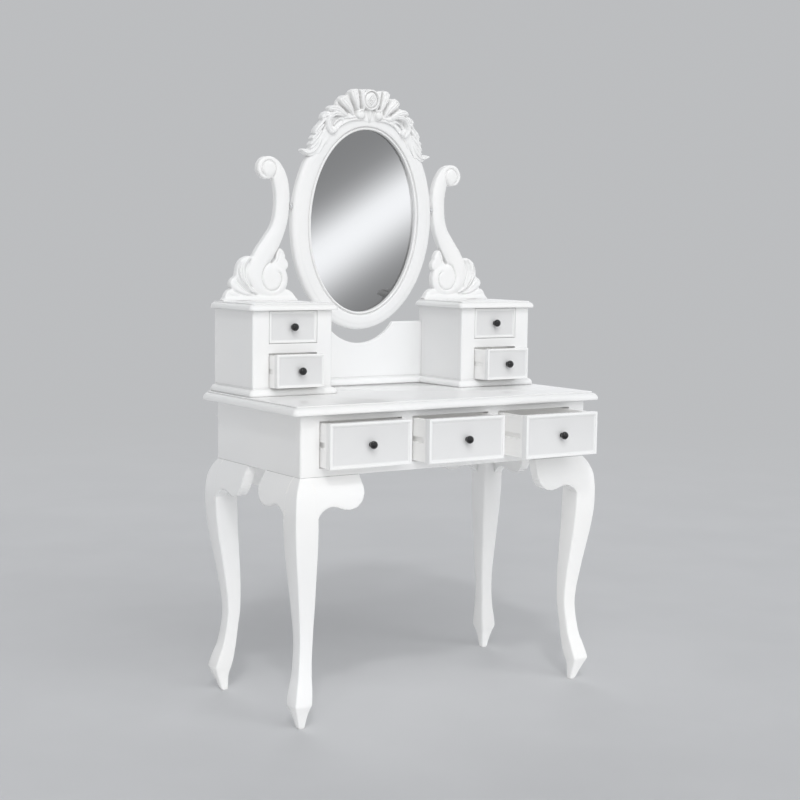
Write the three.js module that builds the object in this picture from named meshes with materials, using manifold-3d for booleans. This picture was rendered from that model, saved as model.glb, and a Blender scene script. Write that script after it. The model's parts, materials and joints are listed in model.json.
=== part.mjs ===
// Dressing table: a three-drawer table on cabriole legs, a hutch with two small
// drawer towers, and an oval mirror with a carved crest hung between two scroll arms.
// Millimetres, +Z up, -Y is the front. The drawers stand part open and the mirror
// leans a little forward, which is the rest position of every joint.

import * as THREE from "three";
import { mergeVertices } from "three/addons/utils/BufferGeometryUtils.js";
import Module from "manifold-3d";

const wasm = await Module();
wasm.setup();

// ---- Driving dimensions ----------------------------------------------------
// Y = 0 is the front face of the carcass; the whole table is moved to its own
// origin at the end. Heights are measured from the floor.

const CARCASS = { half: 420, depth: 402, bottom: 585.5, top: 729.5, panel: 15, frame: 20 };
const TABLE_TOP = { half: 450, front: -24, back: 425, thick: 21.5 };
const DRAWER_BAY = { bottom: 604.9, top: 713.2, centreHalf: 112.1, inner: 143.4, outer: 369.4 };
const PLINTH_THICK = 20.5;
const TOWER = { inner: 196.8, outer: 417.2, front: 230.4, back: 413, top: 956, panel: 12, frame: 15 };
const TOWER_BAY = { inner: 239, outer: 373, railBottom: 853.5, railTop: 876.5, shelf: 12 };
const OVERHANG = 12;
const TOWER_TOP_THICK = 17;
const BACK_PANEL = { thick: 12, shoulder: 915, shoulderX: 105, scoop: 860 };
const MIRROR = {
  pivotY: 406,
  pivotZ: 1209,
  centre: -33,
  sightX: 159,
  sightZ: 234,
  rimX: 213,
  rimZ: 281,
};
const MIRROR_TILT = THREE.MathUtils.degToRad(3.4);
const ARM = { front: 396, thick: 22, innerX: 218.5, outerX: 400 };

// How far each drawer stands open at rest.
const OPEN = {
  drawer_left: 45,
  drawer_centre: 69,
  drawer_right: 111,
  tower_drawer_upper_left: 0,
  tower_drawer_lower_left: 39,
  tower_drawer_upper_right: 0,
  tower_drawer_lower_right: 58,
};

const GAP = 0.3;
const KNOB = { head: 9.6, reach: 17, stud: 2.2, washer: 4.5 };
const RUNNER = { height: 9, bite: 5, groove: 11, front: 40, nose: 34 };
const LARGE = { front: 18, side: 12, length: 345, bottom: 5, rim: 12, recess: 3 };
const SMALL = { front: 14, side: 9, length: 145, bottom: 4, rim: 9, recess: 2.5 };
const POST = { inset: 20.3, end: 49 };

const TOP_Z = CARCASS.top + TABLE_TOP.thick;
const PLINTH_Z = TOP_Z + PLINTH_THICK;
const FRONT_REACH = OPEN.drawer_right + KNOB.reach;
const CENTRE_Y = (TABLE_TOP.back - FRONT_REACH) / 2;

// ---- Finishes ----------------------------------------------------------------

const FINISH = {
  lacquer: { color: 0xf1f1ef, roughness: 0.32, metalness: 0 },
  lining: { color: 0xe9e8e4, roughness: 0.55, metalness: 0 },
  hardware: { color: 0x141414, roughness: 0.22, metalness: 0.6 },
  silver: { color: 0xd7dadc, roughness: 0.03, metalness: 1 },
  board: { color: 0x8f7a60, roughness: 0.8, metalness: 0 },
  steel: { color: 0xb9bcc0, roughness: 0.35, metalness: 0.9 },
};

function addPiece(parent, name, geometry, finish) {
  const mesh = new THREE.Mesh(geometry, new THREE.MeshStandardMaterial(FINISH[finish]));
  mesh.name = name;
  parent.add(mesh);
  return mesh;
}

// ---- Solids --------------------------------------------------------------------

function weld(geometry) {
  const bare = geometry.clone();
  bare.deleteAttribute("normal");
  bare.deleteAttribute("uv");
  return mergeVertices(bare);
}

function solid(geometry) {
  const welded = weld(geometry);
  return new wasm.Manifold(
    new wasm.Mesh({
      numProp: 3,
      vertProperties: new Float32Array(welded.attributes.position.array),
      triVerts: new Uint32Array(welded.index.array),
    }),
  );
}

function geometryOf(manifold) {
  const mesh = manifold.getMesh();
  const geometry = new THREE.BufferGeometry();
  geometry.setAttribute("position", new THREE.BufferAttribute(mesh.vertProperties, 3));
  geometry.setIndex(new THREE.BufferAttribute(mesh.triVerts, 1));
  geometry.computeVertexNormals();
  return geometry;
}

function union(...geometries) {
  return geometryOf(geometries.map(solid).reduce((whole, next) => whole.add(next)));
}

function cut(geometry, ...tools) {
  return geometryOf(tools.map(solid).reduce((whole, tool) => whole.subtract(tool), solid(geometry)));
}

function common(a, b) {
  return geometryOf(solid(a).intersect(solid(b)));
}

function turnFacesOver(geometry) {
  const index = geometry.index.array;
  for (let i = 0; i < index.length; i += 3) {
    [index[i + 1], index[i + 2]] = [index[i + 2], index[i + 1]];
  }
}

// Copy with X and Y multiplied by +1 or -1, faces kept pointing out.
function reflected(geometry, signX, signY = 1) {
  const copy = weld(geometry);
  copy.scale(signX, signY, 1);
  if (signX * signY < 0) {
    turnFacesOver(copy);
  }
  copy.computeVertexNormals();
  return copy;
}

// Copy with X and Y exchanged, faces kept pointing out.
function swappedXY(geometry) {
  const copy = weld(geometry);
  copy.applyMatrix4(new THREE.Matrix4().set(0, 1, 0, 0, 1, 0, 0, 0, 0, 0, 1, 0, 0, 0, 0, 1));
  turnFacesOver(copy);
  return copy;
}

function block(x0, x1, y0, y1, z0, z1) {
  const geometry = new THREE.BoxGeometry(x1 - x0, y1 - y0, z1 - z0);
  return geometry.translate((x0 + x1) / 2, (y0 + y1) / 2, (z0 + z1) / 2);
}

function shapeOf(points) {
  return new THREE.Shape(points.map(([a, b]) => new THREE.Vector2(a, b)));
}

// The shape lies in (x, z) and runs from y = front to y = back.
function throughY(shape, front, back, segments = 12) {
  const geometry = new THREE.ExtrudeGeometry(shape, {
    depth: back - front,
    bevelEnabled: false,
    curveSegments: segments,
  });
  return geometry.rotateX(Math.PI / 2).translate(0, back, 0);
}

// The shape lies in (y, z) and runs from x = left to x = right.
function throughX(shape, left, right, segments = 12) {
  const geometry = new THREE.ExtrudeGeometry(shape, {
    depth: right - left,
    bevelEnabled: false,
    curveSegments: segments,
  });
  geometry.applyMatrix4(new THREE.Matrix4().set(0, 0, 1, left, 1, 0, 0, 0, 0, 1, 0, 0, 0, 0, 0, 1));
  return geometry;
}

// ---- Moulded boards -----------------------------------------------------------

// Edge of a moulded board from underside to top: a small round under the nose, a
// quarter-round above it and a short upright fillet. Each point is
// [distance in from the outermost edge, height].
function edgeProfile(thick) {
  const nose = 0.3 * thick;
  const fillet = 0.16 * thick;
  const shoulder = 0.52 * thick;
  const points = [[1.5, 0], [0, 1.5], [0, nose]];
  const steps = 5;
  for (let i = 1; i <= steps; i += 1) {
    const turn = (i / steps) * (Math.PI / 2);
    points.push([shoulder * (1 - Math.cos(turn)), nose + (thick - fillet - nose) * Math.sin(turn)]);
  }
  points.push([shoulder + 2, thick - fillet], [shoulder + 2, thick]);
  return points;
}

// Section of a board from a to b; an edge that isn't moulded stays square.
function boardSection(a, b, base, thick, mouldedA, mouldedB) {
  const profile = edgeProfile(thick);
  const square = [[0, 0], [0, thick]];
  const edgeA = mouldedA ? profile : square;
  const edgeB = mouldedB ? profile : square;
  const rising = edgeB.map(([inset, z]) => [b - inset, base + z]);
  const falling = edgeA.map(([inset, z]) => [a + inset, base + z]).reverse();
  return shapeOf([...rising, ...falling]);
}

function mouldedBoard(x0, x1, front, back, base, thick) {
  const sides = throughY(boardSection(x0, x1, base, thick, true, true), front, back);
  const ends = throughX(boardSection(front, back, base, thick, true, false), x0, x1);
  return common(sides, ends);
}

// ---- Legs and knee brackets -------------------------------------------------------

// A leg is drawn from its own corner of the carcass: p runs in from the side face and
// q in from the front or back face. Each station gives the middle of the section along
// that diagonal, its half width and its height. Negative edges stand proud.
const LEG_TOE = new THREE.Vector3(12, 8, 0);
const LEG_STATIONS = [
  new THREE.Vector3(5, 22, 52),
  new THREE.Vector3(14.5, 19.5, 110),
  new THREE.Vector3(24, 16.5, 190),
  new THREE.Vector3(20, 19.8, 280),
  new THREE.Vector3(10, 24.5, 380),
  new THREE.Vector3(5, 28.2, 465),
  new THREE.Vector3(6, 27.8, 515),
  new THREE.Vector3(17, 17, CARCASS.bottom),
];
const LEG_ROWS = 15;
const LEG_SIDES = 16;
const LEG_SQUARENESS = 7;
const BRACKET_START = 34.6;
const BRACKET_DROP = 106;
const BRACKET_SWELL = 21;
const BRACKET_BACK = 20;

function legGeometry() {
  const curve = new THREE.CatmullRomCurve3(LEG_STATIONS);
  const geometry = new THREE.CylinderGeometry(1, 1, LEG_ROWS, LEG_SIDES, LEG_ROWS);
  geometry.rotateX(Math.PI / 2).translate(0, 0, LEG_ROWS / 2);
  const position = geometry.attributes.position;
  for (let i = 0; i < position.count; i += 1) {
    const row = Math.round(position.getZ(i));
    const station = row === 0 ? LEG_TOE : curve.getPoint((row - 1) / (LEG_ROWS - 1));
    const x = position.getX(i);
    const y = position.getY(i);
    const power = Math.abs(x) ** LEG_SQUARENESS + Math.abs(y) ** LEG_SQUARENESS;
    const reach = power > 0 ? station.y / power ** (1 / LEG_SQUARENESS) : 0;
    position.setXYZ(i, station.x + reach * x, station.x + reach * y, station.z);
  }
  const post = block(POST.inset, POST.end, POST.inset, POST.end, CARCASS.bottom - 12, CARCASS.top);
  return union(geometry, post);
}

// Knee bracket: a scalloped ear whose face carries on the swell of the knee. It grows
// out from flush with the carcass at the top to BRACKET_SWELL proud of it.
function bracketGeometry() {
  const top = CARCASS.bottom;
  const foot = top - BRACKET_DROP;
  const outline = new THREE.Shape();
  outline.moveTo(BRACKET_START, top);
  outline.lineTo(BRACKET_START, foot);
  outline.quadraticCurveTo(42, top - 78, 62, top - 71);
  outline.quadraticCurveTo(76, top - 67, 92, top - 72);
  outline.quadraticCurveTo(124, top - 83, 146, top - 68);
  outline.quadraticCurveTo(166, top - 50, 162, top - 24);
  outline.lineTo(158, top);
  const swell = new THREE.Shape();
  swell.moveTo(BRACKET_BACK, top);
  swell.lineTo(0, top);
  swell.quadraticCurveTo(-16, top - 30, -BRACKET_SWELL, top - 72);
  swell.lineTo(-BRACKET_SWELL, foot - 4);
  swell.lineTo(8, foot - 4);
  const ear = throughY(outline, -30, 30, 8);
  const face = throughX(swell, 0, 200, 8);
  return common(ear, face);
}

function addLegs(table) {
  const leg = legGeometry();
  const bracket = bracketGeometry();
  const sideBracket = swappedXY(bracket);
  for (const [endName, signY, originY] of [["front", 1, 0], ["back", -1, CARCASS.depth]]) {
    for (const [sideName, signX] of [["left", 1], ["right", -1]]) {
      const corner = new THREE.Group();
      corner.position.set(-signX * CARCASS.half, originY, 0);
      const place = `${endName}_${sideName}`;
      addPiece(corner, `leg_${place}`, reflected(leg, signX, signY), "lacquer");
      addPiece(corner, `knee_bracket_${place}`, reflected(bracket, signX, signY), "lacquer");
      addPiece(corner, `knee_bracket_side_${place}`, reflected(sideBracket, signX, signY), "lacquer");
      table.add(corner);
    }
  }
}

// ---- Carcass --------------------------------------------------------------------

const RUNNER_Z = (DRAWER_BAY.bottom + DRAWER_BAY.top) / 2;

function runner(x0, x1, front, back) {
  return block(x0, x1, front, back, RUNNER_Z - RUNNER.height / 2, RUNNER_Z + RUNNER.height / 2);
}

function faceFrame() {
  const { half, bottom, top, frame } = CARCASS;
  const bays = [
    [-DRAWER_BAY.outer, -DRAWER_BAY.inner],
    [-DRAWER_BAY.centreHalf, DRAWER_BAY.centreHalf],
    [DRAWER_BAY.inner, DRAWER_BAY.outer],
  ];
  const openings = bays.map(
    ([x0, x1]) => block(x0, x1, -1, frame + 1, DRAWER_BAY.bottom, DRAWER_BAY.top),
  );
  return cut(block(-half, half, 0, frame, bottom, top), ...openings);
}

function sidePanel() {
  const { half, depth, bottom, top, panel, frame } = CARCASS;
  const wall = block(half - panel, half, frame, depth, bottom, top);
  const tip = DRAWER_BAY.outer - 1.6 - RUNNER.bite;
  const batten = runner(tip, half - panel + 1, POST.end + 6, depth - POST.end - 6);
  return union(wall, batten);
}

function partition() {
  const { depth, bottom, top, panel, frame } = CARCASS;
  const middle = (DRAWER_BAY.centreHalf + DRAWER_BAY.inner) / 2;
  const wall = block(middle - panel / 2, middle + panel / 2, frame, depth - panel, bottom, top);
  const inner = DRAWER_BAY.centreHalf - 1.6 - RUNNER.bite;
  const outer = DRAWER_BAY.inner + 1.6 + RUNNER.bite;
  return union(wall, runner(inner, outer, RUNNER.front, depth - panel));
}

function addCarcass(table) {
  const { half, depth, bottom, top, panel } = CARCASS;
  addPiece(table, "face_frame", faceFrame(), "lacquer");
  const side = sidePanel();
  const wall = partition();
  for (const [name, sign] of [["left", -1], ["right", 1]]) {
    addPiece(table, `side_panel_${name}`, reflected(side, sign), "lacquer");
    addPiece(table, `partition_${name}`, reflected(wall, sign), "lining");
  }
  const back = block(panel - half, half - panel, depth - panel, depth, bottom, top);
  addPiece(table, "back_panel", back, "lacquer");
  const board = mouldedBoard(
    -TABLE_TOP.half, TABLE_TOP.half, TABLE_TOP.front, TABLE_TOP.back, CARCASS.top, TABLE_TOP.thick,
  );
  addPiece(table, "table_top", board, "lacquer");
}

// ---- Hutch ----------------------------------------------------------------------

const TOWER_GUIDE = { width: 11, height: 10, play: 0.8, sink: 1, lap: 0.4 };

// Low strips that keep a tower drawer straight, one each side of it.
function guideStrips(base) {
  const { width, height, play, sink, lap } = TOWER_GUIDE;
  const { inner, outer } = TOWER_BAY;
  const strip = (x0, x1) => block(
    x0, x1, TOWER.front + TOWER.frame, TOWER.back, base - sink, base + height,
  );
  return [
    strip(inner + play - lap - width, inner + lap),
    strip(outer - lap, outer + width - play),
  ];
}

// U-shaped plinth: a moulded board under each tower, joined by a strip under the back.
function plinth() {
  const x0 = TOWER.inner - OVERHANG;
  const x1 = TOWER.outer + OVERHANG;
  const front = TOWER.front - OVERHANG;
  const foot = mouldedBoard(x0, x1, front, TABLE_TOP.back, TOP_Z, PLINTH_THICK);
  const right = union(foot, ...guideStrips(PLINTH_Z));
  const section = boardSection(
    TOWER.back - OVERHANG, TABLE_TOP.back, TOP_Z, PLINTH_THICK, true, false,
  );
  const strip = throughX(section, -x0 - OVERHANG * 2, x0 + OVERHANG * 2);
  return union(right, reflected(right, -1), strip);
}

function towerFrame() {
  const { inner, outer, front, top } = TOWER;
  const back = front + TOWER.frame;
  const bays = [[PLINTH_Z - 1, TOWER_BAY.railBottom], [TOWER_BAY.railTop, top + 1]];
  const openings = bays.map(
    ([z0, z1]) => block(TOWER_BAY.inner, TOWER_BAY.outer, front - 1, back + 1, z0, z1),
  );
  return cut(block(inner, outer, front, back, PLINTH_Z, top), ...openings);
}

function towerShelf() {
  const front = TOWER.front + TOWER.frame;
  const z = TOWER_BAY.railTop;
  const x0 = TOWER.inner + TOWER.panel;
  const x1 = TOWER.outer - TOWER.panel;
  return union(block(x0, x1, front, TOWER.back, z - TOWER_BAY.shelf, z), ...guideStrips(z));
}

// Back of the hutch: full height behind the towers, scooped under the mirror.
function hutchBack() {
  const { shoulder, shoulderX, scoop, thick } = BACK_PANEL;
  const drop = shoulder - scoop;
  const radius = (shoulderX ** 2 + drop ** 2) / (2 * drop);
  const sweep = Math.asin(shoulderX / radius);
  const shape = new THREE.Shape();
  shape.moveTo(-TOWER.outer, PLINTH_Z);
  shape.lineTo(TOWER.outer, PLINTH_Z);
  shape.lineTo(TOWER.outer, TOWER.top);
  shape.lineTo(TOWER.inner, TOWER.top);
  shape.lineTo(TOWER.inner, shoulder);
  shape.lineTo(shoulderX, shoulder);
  shape.absarc(0, scoop + radius, radius, -Math.PI / 2 + sweep, -Math.PI / 2 - sweep, true);
  shape.lineTo(-TOWER.inner, shoulder);
  shape.lineTo(-TOWER.inner, TOWER.top);
  shape.lineTo(-TOWER.outer, TOWER.top);
  return throughY(shape, TOWER.back, TOWER.back + thick, 20);
}

function addHutch(table) {
  addPiece(table, "plinth", plinth(), "lacquer");
  addPiece(table, "hutch_back", hutchBack(), "lacquer");
  const front = TOWER.front + TOWER.frame;
  const { inner, outer, panel, back, top } = TOWER;
  const outerSide = block(outer - panel, outer, front, back, PLINTH_Z, top);
  const innerSide = block(inner, inner + panel, front, back, PLINTH_Z, top);
  const lid = mouldedBoard(
    inner - OVERHANG, outer + OVERHANG, TOWER.front - OVERHANG, TABLE_TOP.back, top, TOWER_TOP_THICK,
  );
  for (const [name, sign] of [["left", -1], ["right", 1]]) {
    addPiece(table, `tower_frame_${name}`, reflected(towerFrame(), sign), "lacquer");
    addPiece(table, `tower_outer_side_${name}`, reflected(outerSide, sign), "lacquer");
    addPiece(table, `tower_inner_side_${name}`, reflected(innerSide, sign), "lacquer");
    addPiece(table, `tower_shelf_${name}`, reflected(towerShelf(), sign), "lining");
    addPiece(table, `tower_top_${name}`, reflected(lid, sign), "lacquer");
  }
}

// ---- Drawers --------------------------------------------------------------------

// Front board with a raised rim that slopes down to a flat field, drilled for the knob.
function drawerFront(x0, x1, z0, z1, kind) {
  const { front, rim, recess } = kind;
  const board = block(x0, x1, 0, front, z0, z1);
  const field = new THREE.BoxGeometry(x1 - x0 - rim, recess * 2, z1 - z0 - rim);
  const position = field.attributes.position;
  for (let i = 0; i < position.count; i += 1) {
    if (position.getY(i) > 0) {
      position.setX(i, position.getX(i) - Math.sign(position.getX(i)) * rim / 3);
      position.setZ(i, position.getZ(i) - Math.sign(position.getZ(i)) * rim / 3);
    }
  }
  field.translate((x0 + x1) / 2, 0, (z0 + z1) / 2);
  const hole = new THREE.CylinderGeometry(KNOB.stud + GAP, KNOB.stud + GAP, front * 3, 12);
  hole.translate((x0 + x1) / 2, 0, (z0 + z1) / 2);
  return cut(board, field, hole);
}

// Two sides, a back and a bottom, open at the top and closed by the front board.
function drawerBox(x0, x1, z0, z1, kind, grooved) {
  const { front, side, length, bottom } = kind;
  const y0 = front;
  const y1 = front + length;
  const shell = block(x0, x1, y0, y1, z0, z1);
  const room = block(x0 + side, x1 - side, y0 - 1, y1 - side, z0 + bottom, z1 + 1);
  const grooves = [];
  if (grooved) {
    const low = RUNNER_Z - RUNNER.groove / 2;
    const high = RUNNER_Z + RUNNER.groove / 2;
    const bite = RUNNER.bite + GAP;
    grooves.push(block(x0 - 1, x0 + bite, RUNNER.nose, y1 + 1, low, high));
    grooves.push(block(x1 - bite, x1 + 1, RUNNER.nose, y1 + 1, low, high));
  }
  return cut(shell, room, ...grooves);
}

// Ball knob on a short neck, with the stud and washer that clamp it to the front board.
function knobGeometry(kind) {
  const { head, reach, stud, washer } = KNOB;
  const seat = kind.recess;
  const profile = [
    new THREE.Vector2(0, -kind.front - 2),
    new THREE.Vector2(washer, -kind.front - 2),
    new THREE.Vector2(washer, -kind.front),
    new THREE.Vector2(stud, -kind.front),
    new THREE.Vector2(stud, -seat),
    new THREE.Vector2(head * 0.62, -seat),
    new THREE.Vector2(head * 0.62, -seat + 2),
    new THREE.Vector2(head * 0.42, -seat + 4.5),
  ];
  const centre = reach - head * 0.86;
  const steps = 5;
  for (let i = 0; i <= steps; i += 1) {
    const turn = THREE.MathUtils.lerp(-0.3 * Math.PI, 0.5 * Math.PI, i / steps);
    const radius = i === steps ? 0 : head * Math.cos(turn);
    profile.push(new THREE.Vector2(radius, centre + 0.86 * head * Math.sin(turn)));
  }
  // The lathe turns about +Y; a half turn about Z points the knob out towards -Y.
  return new THREE.LatheGeometry(profile, 12).rotateZ(Math.PI);
}

function addDrawer(table, name, [x0, x1], [z0, z1], faceY, kind, fit) {
  const { side, low, high, boxSide, boxLow, boxHigh, grooved } = fit;
  const drawer = new THREE.Group();
  drawer.position.y = faceY - OPEN[name];
  const front = drawerFront(x0 + side, x1 - side, z0 + low, z1 - high, kind);
  addPiece(drawer, `${name}_front`, front, "lacquer");
  const box = drawerBox(x0 + boxSide, x1 - boxSide, z0 + boxLow, z1 - boxHigh, kind, grooved);
  addPiece(drawer, `${name}_box`, box, "lining");
  const knob = addPiece(drawer, `${name}_knob`, knobGeometry(kind), "hardware");
  knob.position.set((x0 + x1) / 2, 0, (z0 + low + z1 - high) / 2);
  table.add(drawer);
}

const LARGE_FIT = { side: 1.2, low: 1, high: 1.7, boxSide: 1.6, boxLow: 3, boxHigh: 4, grooved: true };
const SMALL_FIT = { side: 1, low: 1, high: 1.3, boxSide: 1.2, boxLow: GAP, boxHigh: 4, grooved: false };

function addDrawers(table) {
  const bays = {
    drawer_left: [-DRAWER_BAY.outer, -DRAWER_BAY.inner],
    drawer_centre: [-DRAWER_BAY.centreHalf, DRAWER_BAY.centreHalf],
    drawer_right: [DRAWER_BAY.inner, DRAWER_BAY.outer],
  };
  for (const [name, bay] of Object.entries(bays)) {
    addDrawer(table, name, bay, [DRAWER_BAY.bottom, DRAWER_BAY.top], 0, LARGE, LARGE_FIT);
  }
  const sides = {
    left: [-TOWER_BAY.outer, -TOWER_BAY.inner],
    right: [TOWER_BAY.inner, TOWER_BAY.outer],
  };
  const levels = { upper: [TOWER_BAY.railTop, TOWER.top], lower: [PLINTH_Z, TOWER_BAY.railBottom] };
  for (const [sideName, bay] of Object.entries(sides)) {
    for (const [levelName, level] of Object.entries(levels)) {
      const name = `tower_drawer_${levelName}_${sideName}`;
      addDrawer(table, name, bay, level, TOWER.front, SMALL, SMALL_FIT);
    }
  }
}

// ---- Mirror arms ----------------------------------------------------------------

const ARM_FOOT_Z = TOWER.top + TOWER_TOP_THICK;
const PIVOT = { pin: 3, spacer: 7, frameDepth: 14, armDepth: 16 };

// Outline of the right-hand arm: an S-shaped scroll rising from a carved foot.
function armShape() {
  const foot = ARM_FOOT_Z;
  const shape = new THREE.Shape();
  shape.moveTo(200, foot);
  shape.lineTo(ARM.outerX, foot);
  shape.quadraticCurveTo(402, foot + 26, 378, foot + 32);
  shape.quadraticCurveTo(386, foot + 54, 367, foot + 63);
  shape.quadraticCurveTo(372, foot + 106, 323, foot + 111);
  shape.bezierCurveTo(304, foot + 150, 259, foot + 185, 258, foot + 250);
  shape.quadraticCurveTo(258, foot + 285, 266, foot + 306);
  shape.absarc(283, foot + 328, 28, -2.2, 1.6, false);
  shape.bezierCurveTo(232, foot + 357, 219, foot + 290, ARM.innerX, foot + 236);
  shape.bezierCurveTo(219, foot + 190, 236, foot + 150, 249, foot + 131);
  shape.lineTo(240, foot + 129);
  shape.quadraticCurveTo(226, foot + 116, 221, foot + 92);
  shape.quadraticCurveTo(214, foot + 50, 226, foot + 30);
  shape.quadraticCurveTo(204, foot + 20, 200, foot);
  return shape;
}

function armGeometry() {
  const bevel = 3;
  const board = new THREE.ExtrudeGeometry(armShape(), {
    depth: ARM.thick - bevel,
    bevelThickness: bevel,
    bevelSize: bevel,
    bevelOffset: -bevel,
    bevelSegments: 2,
    curveSegments: 8,
  });
  board.rotateX(Math.PI / 2).translate(0, ARM.front + ARM.thick, 0);
  const behind = block(150, 450, ARM.front - 5, ARM.front + ARM.thick, ARM_FOOT_Z, ARM_FOOT_Z + 400);
  const hole = new THREE.CylinderGeometry(PIVOT.pin + GAP, PIVOT.pin + GAP, 60, 12);
  hole.rotateZ(Math.PI / 2).translate(ARM.innerX + PIVOT.armDepth - 30, MIRROR.pivotY, MIRROR.pivotZ);
  return cut(common(board, behind), hole);
}

// X of the mirror rim at the height of the pivot.
function rimEdgeX() {
  return MIRROR.rimX * Math.sqrt(1 - (MIRROR.centre / MIRROR.rimZ) ** 2);
}

// A pin that runs from the arm into the mirror rim, with a spacer washer between them.
function pivotGeometry() {
  const start = rimEdgeX() + 0.6;
  const end = ARM.innerX - 0.4;
  const pin = new THREE.CylinderGeometry(
    PIVOT.pin, PIVOT.pin, end - start + PIVOT.frameDepth + PIVOT.armDepth - 2, 12,
  );
  const spacer = new THREE.CylinderGeometry(PIVOT.spacer, PIVOT.spacer, end - start, 16);
  const pinMiddle = (start - PIVOT.frameDepth + 1 + end + PIVOT.armDepth - 1) / 2;
  pin.rotateZ(Math.PI / 2).translate(pinMiddle, 0, 0);
  spacer.rotateZ(Math.PI / 2).translate((start + end) / 2, 0, 0);
  return union(pin, spacer).translate(0, MIRROR.pivotY, MIRROR.pivotZ);
}

function addArms(table) {
  const arm = armGeometry();
  const pivot = pivotGeometry();
  for (const [name, sign] of [["left", -1], ["right", 1]]) {
    addPiece(table, `mirror_arm_${name}`, reflected(arm, sign), "lacquer");
    addPiece(table, `mirror_pivot_${name}`, reflected(pivot, sign), "steel");
  }
}

// ---- Mirror ----------------------------------------------------------------------

const RIM = { front: -13.4, back: 9, bevel: 5, rabbet: 4, glassFront: -1.4, glass: 4 };
const CREST = {
  front: -27,
  back: 4,
  innerX: 212,
  innerZ: 262,
  top: 337,
  tipX: 197,
  tipZ: 172,
  tipDrop: 12,
};

function ellipseShape(a, b) {
  const shape = new THREE.Shape();
  shape.absellipse(0, 0, a, b, 0, Math.PI * 2, false, 0);
  return shape;
}

const ELLIPSE_SEGMENTS = 28;

function ellipseBlock(a, b, front, back) {
  return throughY(ellipseShape(a, b), front, back, ELLIPSE_SEGMENTS).translate(0, 0, MIRROR.centre);
}

function mirrorRim() {
  const { front, back, bevel, rabbet, glassFront } = RIM;
  const disc = new THREE.ExtrudeGeometry(ellipseShape(MIRROR.rimX, MIRROR.rimZ), {
    depth: back - front - 2 * bevel,
    bevelThickness: bevel,
    bevelSize: bevel,
    bevelOffset: -bevel,
    bevelSegments: 2,
    curveSegments: ELLIPSE_SEGMENTS,
  });
  disc.rotateX(Math.PI / 2).translate(0, back - bevel, MIRROR.centre);
  const sight = ellipseBlock(MIRROR.sightX, MIRROR.sightZ, front - 5, back + 5);
  const seat = ellipseBlock(MIRROR.sightX + rabbet, MIRROR.sightZ + rabbet, glassFront, back + 5);
  const holes = [-1, 1].map((sign) => {
    const hole = new THREE.CylinderGeometry(PIVOT.pin + GAP, PIVOT.pin + GAP, 40, 12);
    return hole.rotateZ(Math.PI / 2).translate(sign * (rimEdgeX() - PIVOT.frameDepth + 20), 0, 0);
  });
  return cut(disc, sight, seat, ...holes);
}

// Lobes of the crest's right half, from the top down to the side tip, about the middle
// of the glass. Each is the point that the lobe bulges towards and the point it ends at.
const CREST_LOBES = [
  [0, 338, 30, 335],
  [52, 340, 70, 327],
  [82, 318, 96, 306],
  [106, 300, 120, 284],
  [138, 282, 142, 262],
  [158, 252, 160, 231],
  [174, 222, 170, 204],
  [180, 196, 171, 183],
];

// Right half of the crest, run 1 mm past the middle so that the two halves join.
function crestHalfShape() {
  const { innerX, innerZ, tipX, tipZ, tipDrop, top } = CREST;
  const shape = new THREE.Shape();
  shape.moveTo(-1, top);
  for (const [bulgeX, bulgeZ, endX, endZ] of CREST_LOBES) {
    shape.quadraticCurveTo(bulgeX, bulgeZ, endX, endZ);
  }
  shape.lineTo(tipX, tipZ);
  const tipAngle = Math.asin((tipZ - tipDrop) / innerZ);
  shape.absellipse(0, 0, innerX, innerZ, tipAngle, Math.PI / 2, false, 0);
  shape.lineTo(-1, innerZ);
  return shape;
}

// The crest laps over the face of the rim and stands up behind it, clear of it all round.
function mirrorCrest() {
  const half = throughY(crestHalfShape(), CREST.front, CREST.back, 5).translate(0, 0, MIRROR.centre);
  const rimSpace = ellipseBlock(
    MIRROR.rimX + GAP, MIRROR.rimZ + GAP, RIM.front - GAP, RIM.back + 5,
  );
  return cut(union(half, reflected(half, -1)), rimSpace);
}

function addMirror(table) {
  const mirror = new THREE.Group();
  mirror.position.set(0, MIRROR.pivotY, MIRROR.pivotZ);
  mirror.rotation.x = MIRROR_TILT;
  addPiece(mirror, "mirror_frame", mirrorRim(), "lacquer");
  addPiece(mirror, "mirror_crest", mirrorCrest(), "lacquer");
  const a = MIRROR.sightX + RIM.rabbet - GAP;
  const b = MIRROR.sightZ + RIM.rabbet - GAP;
  const glassBack = RIM.glassFront + GAP + RIM.glass;
  addPiece(mirror, "mirror_glass", ellipseBlock(a, b, RIM.glassFront + GAP, glassBack), "silver");
  addPiece(mirror, "mirror_backing", ellipseBlock(a, b, glassBack + GAP, RIM.back), "board");
  table.add(mirror);
}

// ---- Assembly --------------------------------------------------------------------

const table = new THREE.Group();
table.position.y = -CENTRE_Y;
addLegs(table);
addCarcass(table);
addHutch(table);
addDrawers(table);
addArms(table);
addMirror(table);

export default table;
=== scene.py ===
# Dressing table: the looks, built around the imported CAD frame.
# Shapes are worked out in millimetres on the frame's own axes and stored in metres.
# Sizes and places come from the CAD boxes; a carved outline is given about its own middle.

import json
import math

import bmesh
import bpy
import numpy as np
from mathutils import Matrix, Vector


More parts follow.
